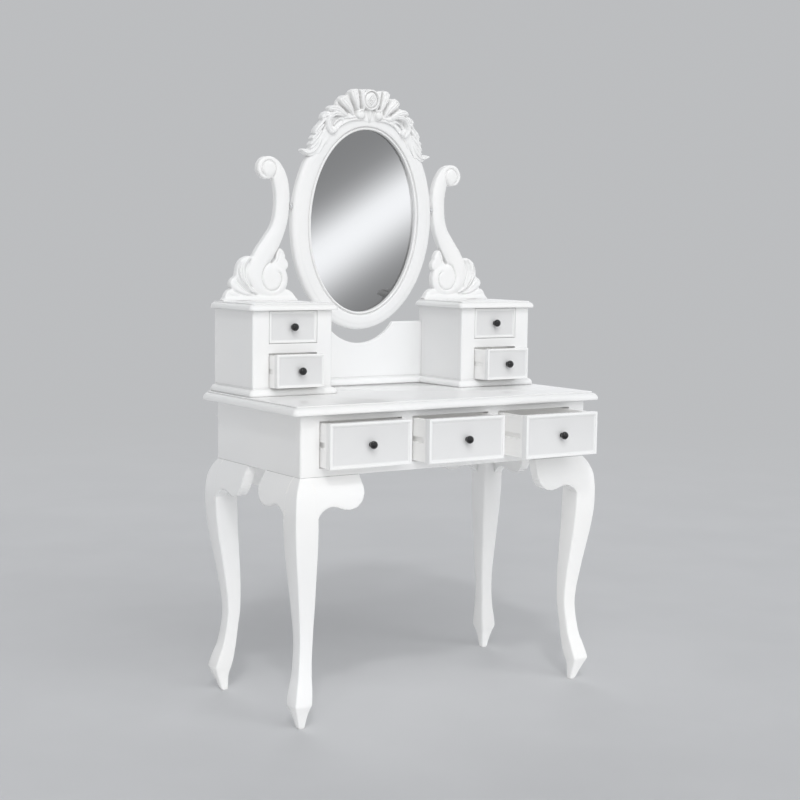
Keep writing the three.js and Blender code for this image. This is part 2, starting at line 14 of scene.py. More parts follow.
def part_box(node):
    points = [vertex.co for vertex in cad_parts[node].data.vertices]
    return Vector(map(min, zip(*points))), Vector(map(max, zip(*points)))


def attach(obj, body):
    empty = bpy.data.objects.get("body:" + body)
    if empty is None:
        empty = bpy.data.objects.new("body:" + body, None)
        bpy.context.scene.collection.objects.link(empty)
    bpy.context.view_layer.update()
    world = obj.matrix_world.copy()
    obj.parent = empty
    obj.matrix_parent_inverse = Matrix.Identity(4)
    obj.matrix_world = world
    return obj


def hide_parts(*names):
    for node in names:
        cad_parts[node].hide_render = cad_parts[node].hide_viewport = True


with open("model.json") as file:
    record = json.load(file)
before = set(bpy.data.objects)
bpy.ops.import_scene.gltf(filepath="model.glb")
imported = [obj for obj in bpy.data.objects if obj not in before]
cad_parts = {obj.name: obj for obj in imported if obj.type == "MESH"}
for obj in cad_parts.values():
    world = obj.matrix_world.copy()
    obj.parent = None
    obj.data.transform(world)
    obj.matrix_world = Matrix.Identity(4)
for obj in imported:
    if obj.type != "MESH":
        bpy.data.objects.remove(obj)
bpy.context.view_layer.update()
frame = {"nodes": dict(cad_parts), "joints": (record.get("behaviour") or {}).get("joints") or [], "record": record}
nodes = frame["nodes"]
body_of = {n: body for body, members in frame["record"]["behaviour"]["bodies"].items() for n in members}
slot_of = {part["node"]: part["material_slot"] for part in frame["record"]["subparts"]}

SIDES = (("left", -1), ("right", 1))
ENDS = (("front", 1), ("back", -1))


def mm(node):
    """Lowest and highest corner of a CAD node in millimetres, as x0, x1, y0, y1, z0, z1."""
    low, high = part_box(node)
    return [v * 1000 for pair in zip(low, high) for v in pair]


# ---- Materials -------------------------------------------------------------------

class Nodes:
    """A small helper that adds shader nodes to one material and links them by name."""

    def __init__(self, name):
        self.material = bpy.data.materials.new(name)
        self.material.use_nodes = True
        self.tree = self.material.node_tree
        self.shader = self.tree.nodes["Principled BSDF"]
        self.place = self.add("ShaderNodeTexCoord").outputs["Object"]

    def add(self, kind, **values):
        node = self.tree.nodes.new(kind)
        for key, value in values.items():
            if hasattr(node, key):
                setattr(node, key, value)
            else:
                self.put(node.inputs[key.replace("_", " ")], value)
        return node

    def put(self, socket, value):
        if isinstance(value, bpy.types.NodeSocket):
            self.tree.links.new(value, socket)
        else:
            socket.default_value = value

    def noise(self, scale, detail=3.0, stretch=(1, 1, 1), roughness=0.55):
        mapping = self.add("ShaderNodeMapping", Vector=self.place, Scale=stretch)
        texture = self.add(
            "ShaderNodeTexNoise", Vector=mapping.outputs[0], Scale=scale, Detail=detail, Roughness=roughness
        )
        return texture.outputs["Fac"]

    def span(self, value, low, high, to_low=0.0, to_high=1.0):
        node = self.add("ShaderNodeMapRange", interpolation_type="SMOOTHSTEP", Value=value)
        for socket, number in zip(list(node.inputs)[1:5], (low, high, to_low, to_high)):
            self.put(socket, number)
        return node.outputs[0]

    def math(self, operation, a, b=0.0):
        node = self.add("ShaderNodeMath", operation=operation)
        self.put(node.inputs[0], a)
        self.put(node.inputs[1], b)
        return node.outputs[0]

    def mix(self, factor, a, b):
        node = self.add("ShaderNodeMix", data_type="RGBA")
        self.put(node.inputs[0], factor)
        self.put(node.inputs[6], a)
        self.put(node.inputs[7], b)
        return node.outputs[2]

    def bump(self, height, strength, distance, normal=None):
        node = self.add("ShaderNodeBump", Strength=strength, Distance=distance, Height=height)
        if normal is not None:
            self.put(node.inputs["Normal"], normal)
        return node.outputs[0]

    def set(self, **values):
        for key, value in values.items():
            self.put(self.shader.inputs[key.replace("_", " ")], value)
        return self.material


def lacquer():
    """Sprayed white gloss lacquer: faint tint drift, dark specks, orange peel, painted shade in the hollows and on
    the sunk drawer fields, rubbed edges.
    """
    n = Nodes("white_lacquer")
    drift = n.noise(2.2, 3.0)
    speck = n.noise(260.0, 4.0)
    tint = n.mix(n.span(drift, 0.35, 0.65), (0.862, 0.866, 0.868, 1), (0.884, 0.883, 0.877, 1))
    tint = n.mix(n.span(speck, 0.62, 0.8, 0, 0.10), tint, (0.79, 0.785, 0.77, 1))
    # Painted shade: the colour turns grey where ambient occlusion finds the surface hemmed in, standing in for
    # shade in hollows, corners and under ledges.
    hollow = n.add("ShaderNodeAmbientOcclusion", samples=6, Distance=0.010)
    hollow_shade = n.span(hollow.outputs["AO"], 0.2, 0.9, 0.42, 0.0)
    tint = n.mix(hollow_shade, tint, (0.56, 0.555, 0.545, 1))
    arris = n.add("ShaderNodeAmbientOcclusion", inside=True, samples=4, Distance=0.0014)
    worn = n.math("MULTIPLY", n.span(arris.outputs["AO"], 0.75, 0.35), n.span(n.noise(38.0, 6.0), 0.52, 0.68))
    tint = n.mix(n.math("MULTIPLY", worn, 0.35), tint, (0.76, 0.74, 0.70, 1))
    # Painted shade: the sunk fields of the drawer fronts, marked by the panel attribute, are painted greyer as if
    # lying in shade.
    panel = n.add("ShaderNodeAttribute", attribute_name="panel").outputs["Fac"]
    tint = n.mix(n.math("MULTIPLY", panel, 0.75), tint, (0.69, 0.692, 0.695, 1))
    gloss = n.span(n.noise(11.0, 5.0), 0.25, 0.8, 0.17, 0.25)
    gloss = n.math("ADD", gloss, n.math("MULTIPLY", worn, 0.2))
    peel = n.bump(n.noise(420.0, 2.0), 0.05, 0.0005)
    wave = n.bump(n.noise(30.0, 2.0), 0.03, 0.0015, peel)
    return n.set(
        Base_Color=tint, Roughness=gloss, Normal=wave, Coat_Weight=0.35, Coat_Roughness=0.05,
        Specular_IOR_Level=0.42,
    )


def lining():
    """Satin white paint over planed wood: the grain just shows along the board. It is painted grey in its hollows
    as shade and glows faintly as painted bounce light.
    """
    n = Nodes("drawer_lining")
    grain = n.noise(30.0, 8.0, (1.0, 0.06, 1.0), 0.7)
    pores = n.noise(160.0, 4.0, (1.0, 0.05, 1.0))
    tint = n.mix(n.span(grain, 0.35, 0.7), (0.845, 0.842, 0.832, 1), (0.875, 0.873, 0.865, 1))
    tint = n.mix(n.span(pores, 0.55, 0.8, 0, 0.18), tint, (0.77, 0.765, 0.75, 1))
    # Painted shade: the colour turns grey where the surface is hemmed in, as shade in corners and grooves.
    hollow = n.add("ShaderNodeAmbientOcclusion", samples=4, Distance=0.014)
    tint = n.mix(n.span(hollow.outputs["AO"], 0.25, 0.9, 0.3, 0.0), tint, (0.58, 0.575, 0.56, 1))
    gloss = n.span(n.noise(20.0, 4.0), 0.3, 0.7, 0.28, 0.42)
    bump = n.bump(grain, 0.10, 0.0006, n.bump(pores, 0.08, 0.0003))
    # Painted light: the lining glows faintly in its own colour, as bounce light inside the drawers and grooves.
    return n.set(Base_Color=tint, Roughness=gloss, Normal=bump, Emission_Color=tint, Emission_Strength=0.10)


def enamel():
    """Black gloss knob with soft handling marks and a little dust."""
    n = Nodes("black_knob")
    smear = n.noise(90.0, 5.0)
    dust = n.noise(900.0, 2.0)
    tint = n.mix(n.span(smear, 0.4, 0.7), (0.002, 0.002, 0.0025, 1), (0.005, 0.005, 0.006, 1))
    tint = n.mix(n.span(dust, 0.72, 0.84, 0, 0.08), tint, (0.05, 0.05, 0.05, 1))
    gloss = n.span(smear, 0.3, 0.75, 0.07, 0.13)
    return n.set(
        Base_Color=tint, Roughness=gloss, Normal=n.bump(smear, 0.04, 0.0004), Coat_Weight=0.5,
        Coat_Roughness=0.03, Specular_IOR_Level=0.32,
    )


def silvering(centre):
    """Silvered glass with a painted reflection: a soft bright band crosses it from low on one side to high on the
    other, with darker grey on either side.
    """
    n = Nodes("silvered_glass")
    spot = n.add("ShaderNodeVectorMath", operation="SUBTRACT")
    n.put(spot.inputs[0], n.place)
    n.put(spot.inputs[1], centre)
    split = n.add("ShaderNodeSeparateXYZ", Vector=spot.outputs[0])
    slant = n.math("ADD", split.outputs[2], n.math("MULTIPLY", split.outputs[0], -0.62))
    # Painted reflection: the metal's colour carries the bright band and the darker grey either side of it.
    ramp = n.add("ShaderNodeValToRGB", Fac=n.span(slant, -0.30, 0.30))
    stops = ((0.0, 0.19), (0.17, 0.38), (0.35, 1.0), (0.55, 1.0), (0.69, 0.50), (0.82, 0.26), (1.0, 0.235))
    ramp.color_ramp.interpolation = "B_SPLINE"
    while len(ramp.color_ramp.elements) < len(stops):
        ramp.color_ramp.elements.new(0.5)
    for element, (at, grey) in zip(ramp.color_ramp.elements, stops):
        element.position = at
        element.color = (grey, grey, grey, 1)
    haze = n.span(n.noise(24.0, 5.0), 0.45, 0.8, 0.012, 0.05)
    ripple = n.bump(n.noise(5.0, 1.0), 0.02, 0.002)
    return n.set(Base_Color=ramp.outputs[0], Metallic=1.0, Roughness=haze, Normal=ripple)


def hardboard():
    """Brown pressed-fibre board, mottled and slightly fuzzy."""
    n = Nodes("fibre_board")
    mottle = n.noise(120.0, 8.0, (1, 1, 1), 0.7)
    fibre = n.noise(700.0, 3.0, (1.0, 1.0, 0.2))
    tint = n.mix(n.span(mottle, 0.3, 0.7), (0.23, 0.145, 0.083, 1), (0.34, 0.23, 0.14, 1))
    tint = n.mix(n.span(fibre, 0.5, 0.75, 0, 0.5), tint, (0.44, 0.33, 0.22, 1))
    bump = n.bump(fibre, 0.4, 0.0004, n.bump(mottle, 0.2, 0.0008))
    return n.set(Base_Color=tint, Roughness=n.span(mottle, 0.3, 0.7, 0.62, 0.85), Normal=bump)


def zinc():
    """Bright zinc-plated steel with drawn lines and a grey bloom."""
    n = Nodes("zinc_pivot")
    lines = n.noise(900.0, 2.0, (0.05, 1.0, 1.0))
    bloom = n.noise(120.0, 5.0)
    tint = n.mix(n.span(bloom, 0.35, 0.7), (0.74, 0.75, 0.76, 1), (0.86, 0.86, 0.85, 1))
    gloss = n.math("ADD", n.span(bloom, 0.3, 0.7, 0.22, 0.4), n.span(lines, 0.4, 0.7, 0.0, 0.12))
    return n.set(Base_Color=tint, Metallic=1.0, Roughness=gloss, Normal=n.bump(lines, 0.15, 0.0003))


glass_low, glass_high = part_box("mirror_glass")
finishes = {
    "white_lacquer": lacquer(),
    "drawer_lining": lining(),
    "black_knob": enamel(),
    "silvered_glass": silvering((glass_low + glass_high) / 2),
    "fibre_board": hardboard(),
    "zinc_pivot": zinc(),
}

# ---- Pieces ----------------------------------------------------------------------


def finish_piece(mesh, node, angle=38.0):
    """Shade the mesh, give it the node's finish and let it ride and stand for that node."""
    mesh.polygons.foreach_set("use_smooth", [True] * len(mesh.polygons))
    mesh.set_sharp_from_angle(angle=math.radians(angle))
    piece = bpy.data.objects.new(f"{node}.shown", mesh)
    bpy.context.scene.collection.objects.link(piece)
    mesh.materials.clear()
    mesh.materials.append(finishes[slot_of[node]])
    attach(piece, body_of[node])
    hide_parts(node)
    return piece


def mesh_from(name, points, faces, place=None):
    """Mesh from points in millimetres, with its faces turned outwards."""
    points = np.asarray(points, float)
    if place is not None:
        points = place(points)
    mesh = bpy.data.meshes.new(name)
    mesh.from_pydata((points / 1000).tolist(), [], faces)
    build = bmesh.new()
    build.from_mesh(mesh)
    bmesh.ops.remove_doubles(build, verts=build.verts, dist=1e-5)
    bmesh.ops.recalc_face_normals(build, faces=build.faces)
    build.to_mesh(mesh)
    build.free()
    return mesh


def loft(rings, closed_ends=True):
    """Faces that join equal rings of points in order, with a cap at each end."""
    count = len(rings[0])
    points = np.concatenate(rings)
    faces = []
    for level in range(len(rings) - 1):
        low = level * count
        for i in range(count):
            j = (i + 1) % count
            faces.append((low + i, low + j, low + count + j, low + count + i))
    if closed_ends:
        faces.append(tuple(range(count))[::-1])
        faces.append(tuple(range(len(points) - count, len(points))))
    return points, faces


def round_ring(cx, y, cz, radius, count):
    """Points of a circle square to Y."""
    turns = [2 * math.pi * k / count for k in range(count)]
    return np.array([(cx + radius * math.cos(t), y, cz + radius * math.sin(t)) for t in turns])


def box_mesh(x0, x1, y0, y1, z0, z1):
    """Points and faces of a plain block."""
    points = [(x, y, z) for z in (z0, z1) for x, y in ((x0, y0), (x1, y0), (x1, y1), (x0, y1))]
    faces = [(0, 3, 2, 1), (4, 5, 6, 7), (0, 1, 5, 4), (1, 2, 6, 5), (2, 3, 7, 6), (3, 0, 4, 7)]
    return points, faces


def bevelled(piece, width, segments, limit):
    """Rounds the arrises of a piece by a bevel in millimetres."""
    bevel = piece.modifiers.new("eased", "BEVEL")
    bevel.width = width / 1000
    bevel.segments = segments
    bevel.limit_method = limit
    bevel.angle_limit = math.radians(50)
    bevel.harden_normals = True


def eased(node, radius, corner=None):
    """Copy of a CAD board with every arris eased. corner(middle, along) may give another radius."""
    mesh = nodes[node].data.copy()
    build = bmesh.new()
    build.from_mesh(mesh)
    bmesh.ops.remove_doubles(build, verts=build.verts, dist=2e-6)
    bmesh.ops.dissolve_limit(
        build, angle_limit=math.radians(1.5), verts=build.verts, edges=build.edges, delimit=set()
    )
    layer = build.edges.layers.float.new("bevel_weight_edge")
    widest = 6.0
    for edge in build.edges:
        if len(edge.link_faces) == 2 and edge.calc_face_angle(0) > math.radians(28):
            start, end = (v.co * 1000 for v in edge.verts)
            size = corner((start + end) / 2, (end - start).normalized()) if corner else None
            edge[layer] = (radius if size is None else size) / widest
    build.to_mesh(mesh)
    build.free()
    piece = finish_piece(mesh, node)
    bevelled(piece, widest, 3, "WEIGHT")


def carved_out(mesh, *cutters):
    """The mesh with closed cutters taken out of it."""
    whole = bpy.data.objects.new("whole", mesh)
    bpy.context.scene.collection.objects.link(whole)
    tools = []
    for points, faces in cutters:
        tool = bpy.data.objects.new("tool", mesh_from("tool", points, faces))
        bpy.context.scene.collection.objects.link(tool)
        cut = whole.modifiers.new("cut", "BOOLEAN")
        cut.operation = "DIFFERENCE"
        cut.solver = "EXACT"
        cut.object = tool
        tools.append(tool)
    bpy.context.view_layer.update()
    graph = bpy.context.evaluated_depsgraph_get()
    result = bpy.data.meshes.new_from_object(whole.evaluated_get(graph))
    for thing in [whole, *tools]:
        bpy.data.objects.remove(thing)
    return result


# ---- Moulded boards --------------------------------------------------------------


def edge_levels(thick):
    """(distance in from the outermost edge, height) from the underside to the top."""
    nose = 0.22 * thick
    fillet = 0.16 * thick
    slope = 0.50 * thick
    under = 0.10 * thick
    swing = math.radians(65)
    levels = [(under + 0.4, 0.0), (under * 0.35, under * 0.3), (0.0, under + 0.2), (0.0, nose)]
    for i in range(1, 10):
        turn = i / 9 * swing
        rise = (thick - fillet - nose) * math.sin(turn) / math.sin(swing)
        levels.append((slope * (1 - math.cos(turn)) / (1 - math.cos(swing)), nose + rise))
    step = slope + 0.085 * thick
    levels += [(slope + 0.35, thick - fillet - 0.3), (slope + 0.55, thick - fillet - 1.5)]
    levels += [(step - 0.1, thick - fillet - 1.5), (step, thick - fillet + 0.2), (step, thick - 0.8)]
    levels += [(step + 0.25, thick - 0.25), (step + 0.8, thick)]
    return levels


def inset_ring(outline, moulded, inset, rounds, height):
    """The outline with its moulded edges moved in, its outward corners rounded, at one height."""
    count = len(outline)
    corners = []
    for i in range(count):
        before, here, after = (np.array(outline[(i + k) % count], float) for k in (-1, 0, 1))
        into = (here - before) / np.linalg.norm(here - before)
        out = (after - here) / np.linalg.norm(after - here)
        shift_in = inset if moulded[i - 1] else 0.0
        shift_out = inset if moulded[i] else 0.0
        normal_in = np.array([-into[1], into[0]])
        normal_out = np.array([-out[1], out[0]])
        corner = here + normal_in * shift_in + normal_out * shift_out
        turn = into[0] * out[1] - into[1] * out[0]
        if rounds[i] == 0 or turn < 0:
            corners.append([corner])
            continue
        radius = max(rounds[i] - inset * 0.45, 1.2)
        centre = corner + normal_in * radius + normal_out * radius
        arc = []
        for k in range(7):
            angle = k / 6 * math.pi / 2
            arc.append(centre - radius * (normal_in * math.cos(angle) - into * math.sin(angle)))
        corners.append(arc)
    flat = np.array([p for arc in corners for p in arc])
    return np.column_stack([flat, np.full(len(flat), height)])


def moulded_board(node, outline, moulded, rounds, base, thick):
    """A board with the moulding worked along the edges of its outline that are marked as moulded."""
    rings = [
        inset_ring(outline, moulded, inset, rounds, base + height) for inset, height in edge_levels(thick)
    ]
    points, faces = loft(rings)
    return finish_piece(mesh_from(node, points, faces), node, 30)


def rectangular_board(node):
    """A top moulded at the front and both ends, plain at the back."""
    x0, x1, y0, y1, z0, z1 = mm(node)
    outline = [(x0, y0), (x1, y0), (x1, y1), (x0, y1)]
    moulded_board(node, outline, (1, 1, 0, 1), (10, 10, BACK_ROUND, BACK_ROUND), z0, z1 - z0)


BACK_ROUND = 1.5
CARCASS = mm("face_frame")
BACK = mm("back_panel")
ORIGIN_Y = CARCASS[2]
DEPTH = BACK[3] - ORIGIN_Y
HALF = CARCASS[1]

rectangular_board("table_top")
for side, sign in SIDES:
    rectangular_board(f"tower_top_{side}")

foot = mm("plinth")
tower = {side: mm(f"tower_frame_{side}") for side, sign in SIDES}
plinth_top = tower["left"][4]
inner_x = mm("tower_top_right")[0]
strip_front = mm("hutch_back")[2] - (tower["right"][0] - inner_x)
u_outline = [
    (foot[0], foot[2]), (-inner_x, foot[2]), (-inner_x, strip_front), (inner_x, strip_front),
    (inner_x, foot[2]), (foot[1], foot[2]), (foot[1], foot[3]), (foot[0], foot[3]),
]
u_rounds = (9, 9, 0, 0, 9, 9, BACK_ROUND, BACK_ROUND)
moulded_board("plinth", u_outline, (1, 1, 1, 1, 1, 1, 0, 1), u_rounds, foot[4], plinth_top - foot[4])

# ---- Carcass and hutch -----------------------------------------------------------


def outer_uprights(x_far, y_front, radius):
    """Radius for the upright arrises at the outer front corners of a frame."""

    def choose(middle, along):
        upright = abs(along.z) > 0.9
        if upright and abs(middle.y - y_front) < 1 and any(abs(middle.x - x) < 1 for x in x_far):
            return radius
        return None

    return choose


eased("face_frame", 0.8, outer_uprights((-HALF, HALF), ORIGIN_Y, 5.0))
eased("back_panel", 0.8)
for side, sign in SIDES:
    eased(f"side_panel_{side}", 0.5)
    eased(f"partition_{side}", 0.8)
    eased(f"tower_frame_{side}", 0.7, outer_uprights(tower[side][:2], tower[side][2], 4.0))
    eased(f"tower_outer_side_{side}", 0.5)
    eased(f"tower_inner_side_{side}", 0.5)
    eased(f"tower_shelf_{side}", 0.6)
eased("hutch_back", 1.4)

# ---- Carved relief ---------------------------------------------------------------


def smooth(rows, steps=8):
    """Catmull-Rom curve through rows of numbers."""
    rows = np.asarray(rows, float)
    padded = np.vstack([2 * rows[0] - rows[1], rows, 2 * rows[-1] - rows[-2]])
    out = []
    for i in range(1, len(padded) - 2):
        a, b, c, d = padded[i - 1], padded[i], padded[i + 1], padded[i + 2]
        for k in range(steps):
            t = k / steps
            out.append(
                0.5 * (2 * b + (c - a) * t + (2 * a - 5 * b + 4 * c - d) * t * t
                       + (3 * b - a - 3 * c + d) * t ** 3)
            )
    out.append(padded[-2])
    return np.array(out)


def nearest(points, line):
    """Distance to a polyline and the row number, with its fraction, of the nearest place."""
    gap = np.full(len(points), 1e9)
    row = np.zeros(len(points))
    for i in range(len(line) - 1):
        start, run = line[i, :2], line[i + 1, :2] - line[i, :2]
        t = np.clip(((points - start) @ run) / max(run @ run, 1e-9), 0, 1)
        here = np.hypot(*(points - start - t[:, None] * run).T)
        closer = here < gap
        gap[closer] = here[closer]
        row[closer] = i + t[closer]
    return gap, row


def inside(points, outline):
    """Signed distance to a closed outline, positive inside."""
    ring = np.vstack([outline, outline[:1]])
    gap, _ = nearest(points, ring)
    x, z = points.T
    odd = np.zeros(len(points), bool)
    for (x0, z0), (x1, z1) in zip(ring[:-1], ring[1:]):
        if z0 == z1:
            continue
        crosses = (z0 > z) != (z1 > z)
        odd ^= crosses & (x < (x1 - x0) * (z - z0) / (z1 - z0) + x0)
    return np.where(odd, gap, -gap)


def stroke(points, rows, power=2.0):
    """A rounded ridge along a curve of (x, z, half width, height): its height and its own field."""
    line = smooth(rows)
    gap, row = nearest(points, line)
    index = np.arange(len(line))
    width = np.interp(row, index, line[:, 2])
    height = np.interp(row, index, line[:, 3])
    across = np.clip(gap / width, 0, 1)
    return height * (1 - across ** power) ** 0.5, width - gap


def laid_over(height, ridge, own):
    """A carving with a ridge laid over it, inside the ridge's own field."""
    return np.where(own > 0, np.maximum(height, ridge), height)


def away(points, rows):
    """Distance to the smooth curve through rows."""
    return nearest(points, smooth(rows))[0]


def groove(points, rows, width, depth):
    """A soft V cut along a curve, fading at both ends."""
    line = smooth(rows)
    gap, row = nearest(points, line)
    fade = np.clip(np.minimum(row, len(line) - 1 - row) / 4, 0.15, 1)
    return depth * fade * np.exp(-(gap / width) ** 2)


def relief(field, front, back, bounds, cell):
    """Closed mesh of a carved board. field is positive on the board; its edge is followed exactly.

    front and back give Y for points (x, z). Returns points and faces.
    """
    x0, x1, z0, z1 = bounds
    nx, nz = int((x1 - x0) / cell) + 2, int((z1 - z0) / cell) + 2
    xs = x0 + cell * np.arange(nx)
    zs = z0 + cell * np.arange(nz)
    centres = np.array([(x + cell / 2, z + cell / 2) for z in zs[:-1] for x in xs[:-1]])
    solid = (field(centres) > 0).reshape(nz - 1, nx - 1)
    for _ in range(4):
        pinch_a = solid[:-1, :-1] & solid[1:, 1:] & ~solid[:-1, 1:] & ~solid[1:, :-1]
        pinch_b = ~solid[:-1, :-1] & ~solid[1:, 1:] & solid[:-1, 1:] & solid[1:, :-1]
        solid[:-1, 1:][pinch_a] = True
        solid[:-1, :-1][pinch_b] = True
        edged = np.pad(solid, 1)
        around = edged[:-2, 1:-1].astype(int) + edged[2:, 1:-1] + edged[1:-1, :-2] + edged[1:-1, 2:]
        solid &= around > 1
        solid |= around > 2
    number = -np.ones((nz, nx), int)
    quads = []
    spots = []

    def vertex(j, i):
        if number[j, i] < 0:
            number[j, i] = len(spots)
            spots.append((xs[i], zs[j]))
        return number[j, i]

    for j, i in zip(*np.nonzero(solid)):
        quads.append((vertex(j, i), vertex(j, i + 1), vertex(j + 1, i + 1), vertex(j + 1, i)))
    flat = np.array(spots)
    edges = {}
    for quad in quads:
        for a, b in zip(quad, quad[1:] + quad[:1]):
            if (b, a) in edges:
                del edges[(b, a)]
            else:
                edges[(a, b)] = True
    rim = np.array(sorted({v for edge in edges for v in edge}))
    after = dict(edges.keys())
    previous = {b: a for a, b in edges.keys()}
    for turn in range(5):
        spot = flat[rim]
        value = field(spot)
        slope = np.column_stack([
            field(spot + (0.2, 0)) - field(spot - (0.2, 0)), field(spot + (0, 0.2)) - field(spot - (0, 0.2))
        ]) / 0.4
        size = np.maximum((slope ** 2).sum(1), 0.3)
        move = -value[:, None] * slope / size[:, None]
        length = np.hypot(*move.T)
        move *= np.minimum(1, cell * 0.9 / np.maximum(length, 1e-9))[:, None]
        flat[rim] = spot + move
        if turn < 4:
            middle = np.array([(flat[after[v]] + flat[previous[v]]) / 2 for v in rim])
            flat[rim] = flat[rim] * 0.6 + middle * 0.4
    total = len(flat)
    top = np.column_stack([flat[:, 0], front(flat), flat[:, 1]])
    low = np.column_stack([flat[:, 0], back(flat), flat[:, 1]])
    faces = list(quads)
    faces += [tuple(v + total for v in quad[::-1]) for quad in quads]
    faces += [(b, a, a + total, b + total) for a, b in edges]
    return np.vstack([top, low]), faces


# ---- Legs and knee brackets ------------------------------------------------------

# Height, then how far the outer and the inner faces stand in from the carcass face.
LEG_OUTER = (
    (0, 4.2), (30, -6.4), (45, -12.6), (56, -17.2), (62, -17.6), (80, -13.3), (100, -7.8), (120, -1.9),
    (160, 4.4), (200, 7.5), (240, 5.5), (280, 0.4), (320, -5.3), (360, -11.5), (400, -17.6), (440, -22.2),
    (470, -23.9), (500, -23.9), (520, -23.0), (543, -20.0), (562, -13.5), (576, -6.0), (585.5, 0),
)
LEG_INNER = (
    (0, 20), (30, 21.6), (45, 23.5), (60, 27.4), (80, 31.1), (100, 33.6), (120, 35.9), (160, 39.2),
    (200, 43), (240, 44), (280, 43.8), (320, 42.6), (360, 41), (400, 39.4), (440, 38.2), (470, 37.6),
    (500, 36.8), (585.5, 34),
)
TOP_OF_LEG = CARCASS[4]


def along_table(table, height):
    """Smooth curve through a table of (height, value)."""
    line = smooth(table, 6)
    return np.interp(height, line[:, 0], line[:, 1])


# Turn and radius of the four arrises of a leg; the one towards the corner of the room is sharpest.
LEG_ARRISES = ((225, 3.0), (315, 4.5), (45, 6.0), (135, 4.5))


def leg_ring(height):
    """Section of a leg at one height: four rounded arrises joined by slightly swelled faces."""
    low, high = along_table(LEG_OUTER, height), along_table(LEG_INNER, height)
    middle, half = (low + high) / 2, (high - low) / 2
    bulge = 0.045 * half * min(max((480 - height) / 40, 0), 1)
    ring = []
    for corner, (turn, radius) in enumerate(LEG_ARRISES):
        radius = min(radius, 0.4 * half)
        next_radius = min(LEG_ARRISES[(corner + 1) % 4][1], 0.4 * half)
        sx = 1 if turn in (315, 45) else -1
        sy = 1 if turn in (45, 135) else -1
        for k in range(6):
            angle = math.radians(turn - 45 + 18 * k)
            ring.append((
                middle + sx * (half - radius) + radius * math.cos(angle),
                middle + sy * (half - radius) + radius * math.sin(angle),
            ))
        start = ring[-1]
        nx, ny = math.cos(math.radians(turn + 45)), math.sin(math.radians(turn + 45))
        run = 2 * half - radius - next_radius
        for k in range(1, 6):
            t = k / 6
            out = bulge * (1 - (2 * t - 1) ** 2)
            ring.append((start[0] - ny * run * t + nx * out, start[1] + nx * run * t + ny * out))
    return np.column_stack([np.array(ring), np.full(len(ring), height)])


def corner_place(sign_x, sign_y, swap=False):
    """Moves points drawn from a carcass corner (p in from the side, q in from the front)."""

    def place(points):
        p, q, z = points.T
        if swap:
            p, q = q, p
        x = sign_x * (HALF - p)
        y = ORIGIN_Y + q if sign_y > 0 else ORIGIN_Y + DEPTH - q
        return np.column_stack([x, y, z])

    return place


POST_START, POST_END = 20.3, 49.0


def leg(node, sign_x, sign_y):
    """A cabriole leg and the square post above it that stands inside the carcass corner."""
    heights = [0, 0.8, 5, 12, 20, 28, 36, 44, 50, 53.5, 56, 58, 60, 62, 65, 69, 74]
    heights += list(range(80, 560, 10)) + [562, 568, 573, 577, 580, 582.5, 584.4, TOP_OF_LEG - 0.3]
    rings = [leg_ring(h) for h in heights]
    rings[0][:, :2] = rings[0][:, :2] * 0.9 + rings[0][:, :2].mean(0) * 0.1
    points, faces = loft(rings)
    post, post_faces = box_mesh(POST_START, POST_END, POST_START, POST_END, TOP_OF_LEG - 12, CARCASS[5])
    shift = len(points)
    points = np.vstack([points, post])
    faces += [tuple(v + shift for v in face) for face in post_faces]
    finish_piece(mesh_from(node, points, faces, corner_place(sign_x, sign_y)), node, 34)


def bracket_outline():
    """Outline of a knee bracket: distance from the carcass corner, height."""
    edge = smooth([
        (33.2, 482), (36.5, 494), (43, 504), (52.5, 511.5), (64, 516.5), (76, 517.5), (90, 514.5),
        (106, 509), (123, 507.5), (140, 512), (154, 524), (161.5, 541), (162, 560), (158, TOP_OF_LEG - 0.4),
    ], 5)
    return np.vstack([edge, [(25, TOP_OF_LEG - 0.4), (25, 484)]])


BRACKET_EDGE = bracket_outline()
BRACKET_THICK = 27.0


def bracket(node, sign_x, sign_y, swap):
    """A knee bracket whose face follows the knee; swap puts it on the end of the carcass."""

    def field(points):
        return inside(points, BRACKET_EDGE)

    def front(points):
        ease = np.clip(1 - inside(points, BRACKET_EDGE) / 2.0, 0, 1)
        ease[points[:, 0] < 35] = 0
        ease[points[:, 1] > TOP_OF_LEG - 4] *= 0.3
        tuck = 0.5 * np.clip((29 - points[:, 0]) / 3, 0, 1) - 0.12
        return along_table(LEG_OUTER, points[:, 1]) + tuck + 1.9 * (1 - np.sqrt(1 - ease ** 2 * 0.98))

    def back(points):
        face = along_table(LEG_OUTER, points[:, 1])
        return np.minimum(face + BRACKET_THICK, POST_START - 0.8)

    points, faces = relief(field, front, back, (24.5, 164, 472, TOP_OF_LEG), 2.5)
    mesh = mesh_from(node, points, faces, corner_place(sign_x, sign_y, swap))
    finish_piece(mesh, node, 50)


for end, sign_y in ENDS:
    for side, sign_x in SIDES:
        leg(f"leg_{end}_{side}", sign_x, sign_y)
        bracket(f"knee_bracket_{end}_{side}", sign_x, sign_y, False)
        bracket(f"knee_bracket_side_{end}_{side}", sign_x, sign_y, True)

# ---- Drawers ---------------------------------------------------------------------


def rect_ring(x0, x1, z0, z1, inset, y, radius):
    """Rounded rectangle in (x, z) at one Y."""
    ring = []
    for cx, cz, turn in ((x0, z0, 180), (x1, z0, 270), (x1, z1, 0), (x0, z1, 90)):
        sx, sz = (1 if cx == x0 else -1), (1 if cz == z0 else -1)
        for k in range(4):
            angle = math.radians(turn + 30 * k)
            ring.append((
                cx + sx * (inset + radius) + radius * math.cos(angle), y,
                cz + sz * (inset + radius) + radius * math.sin(angle),
            ))
    return np.array(ring)


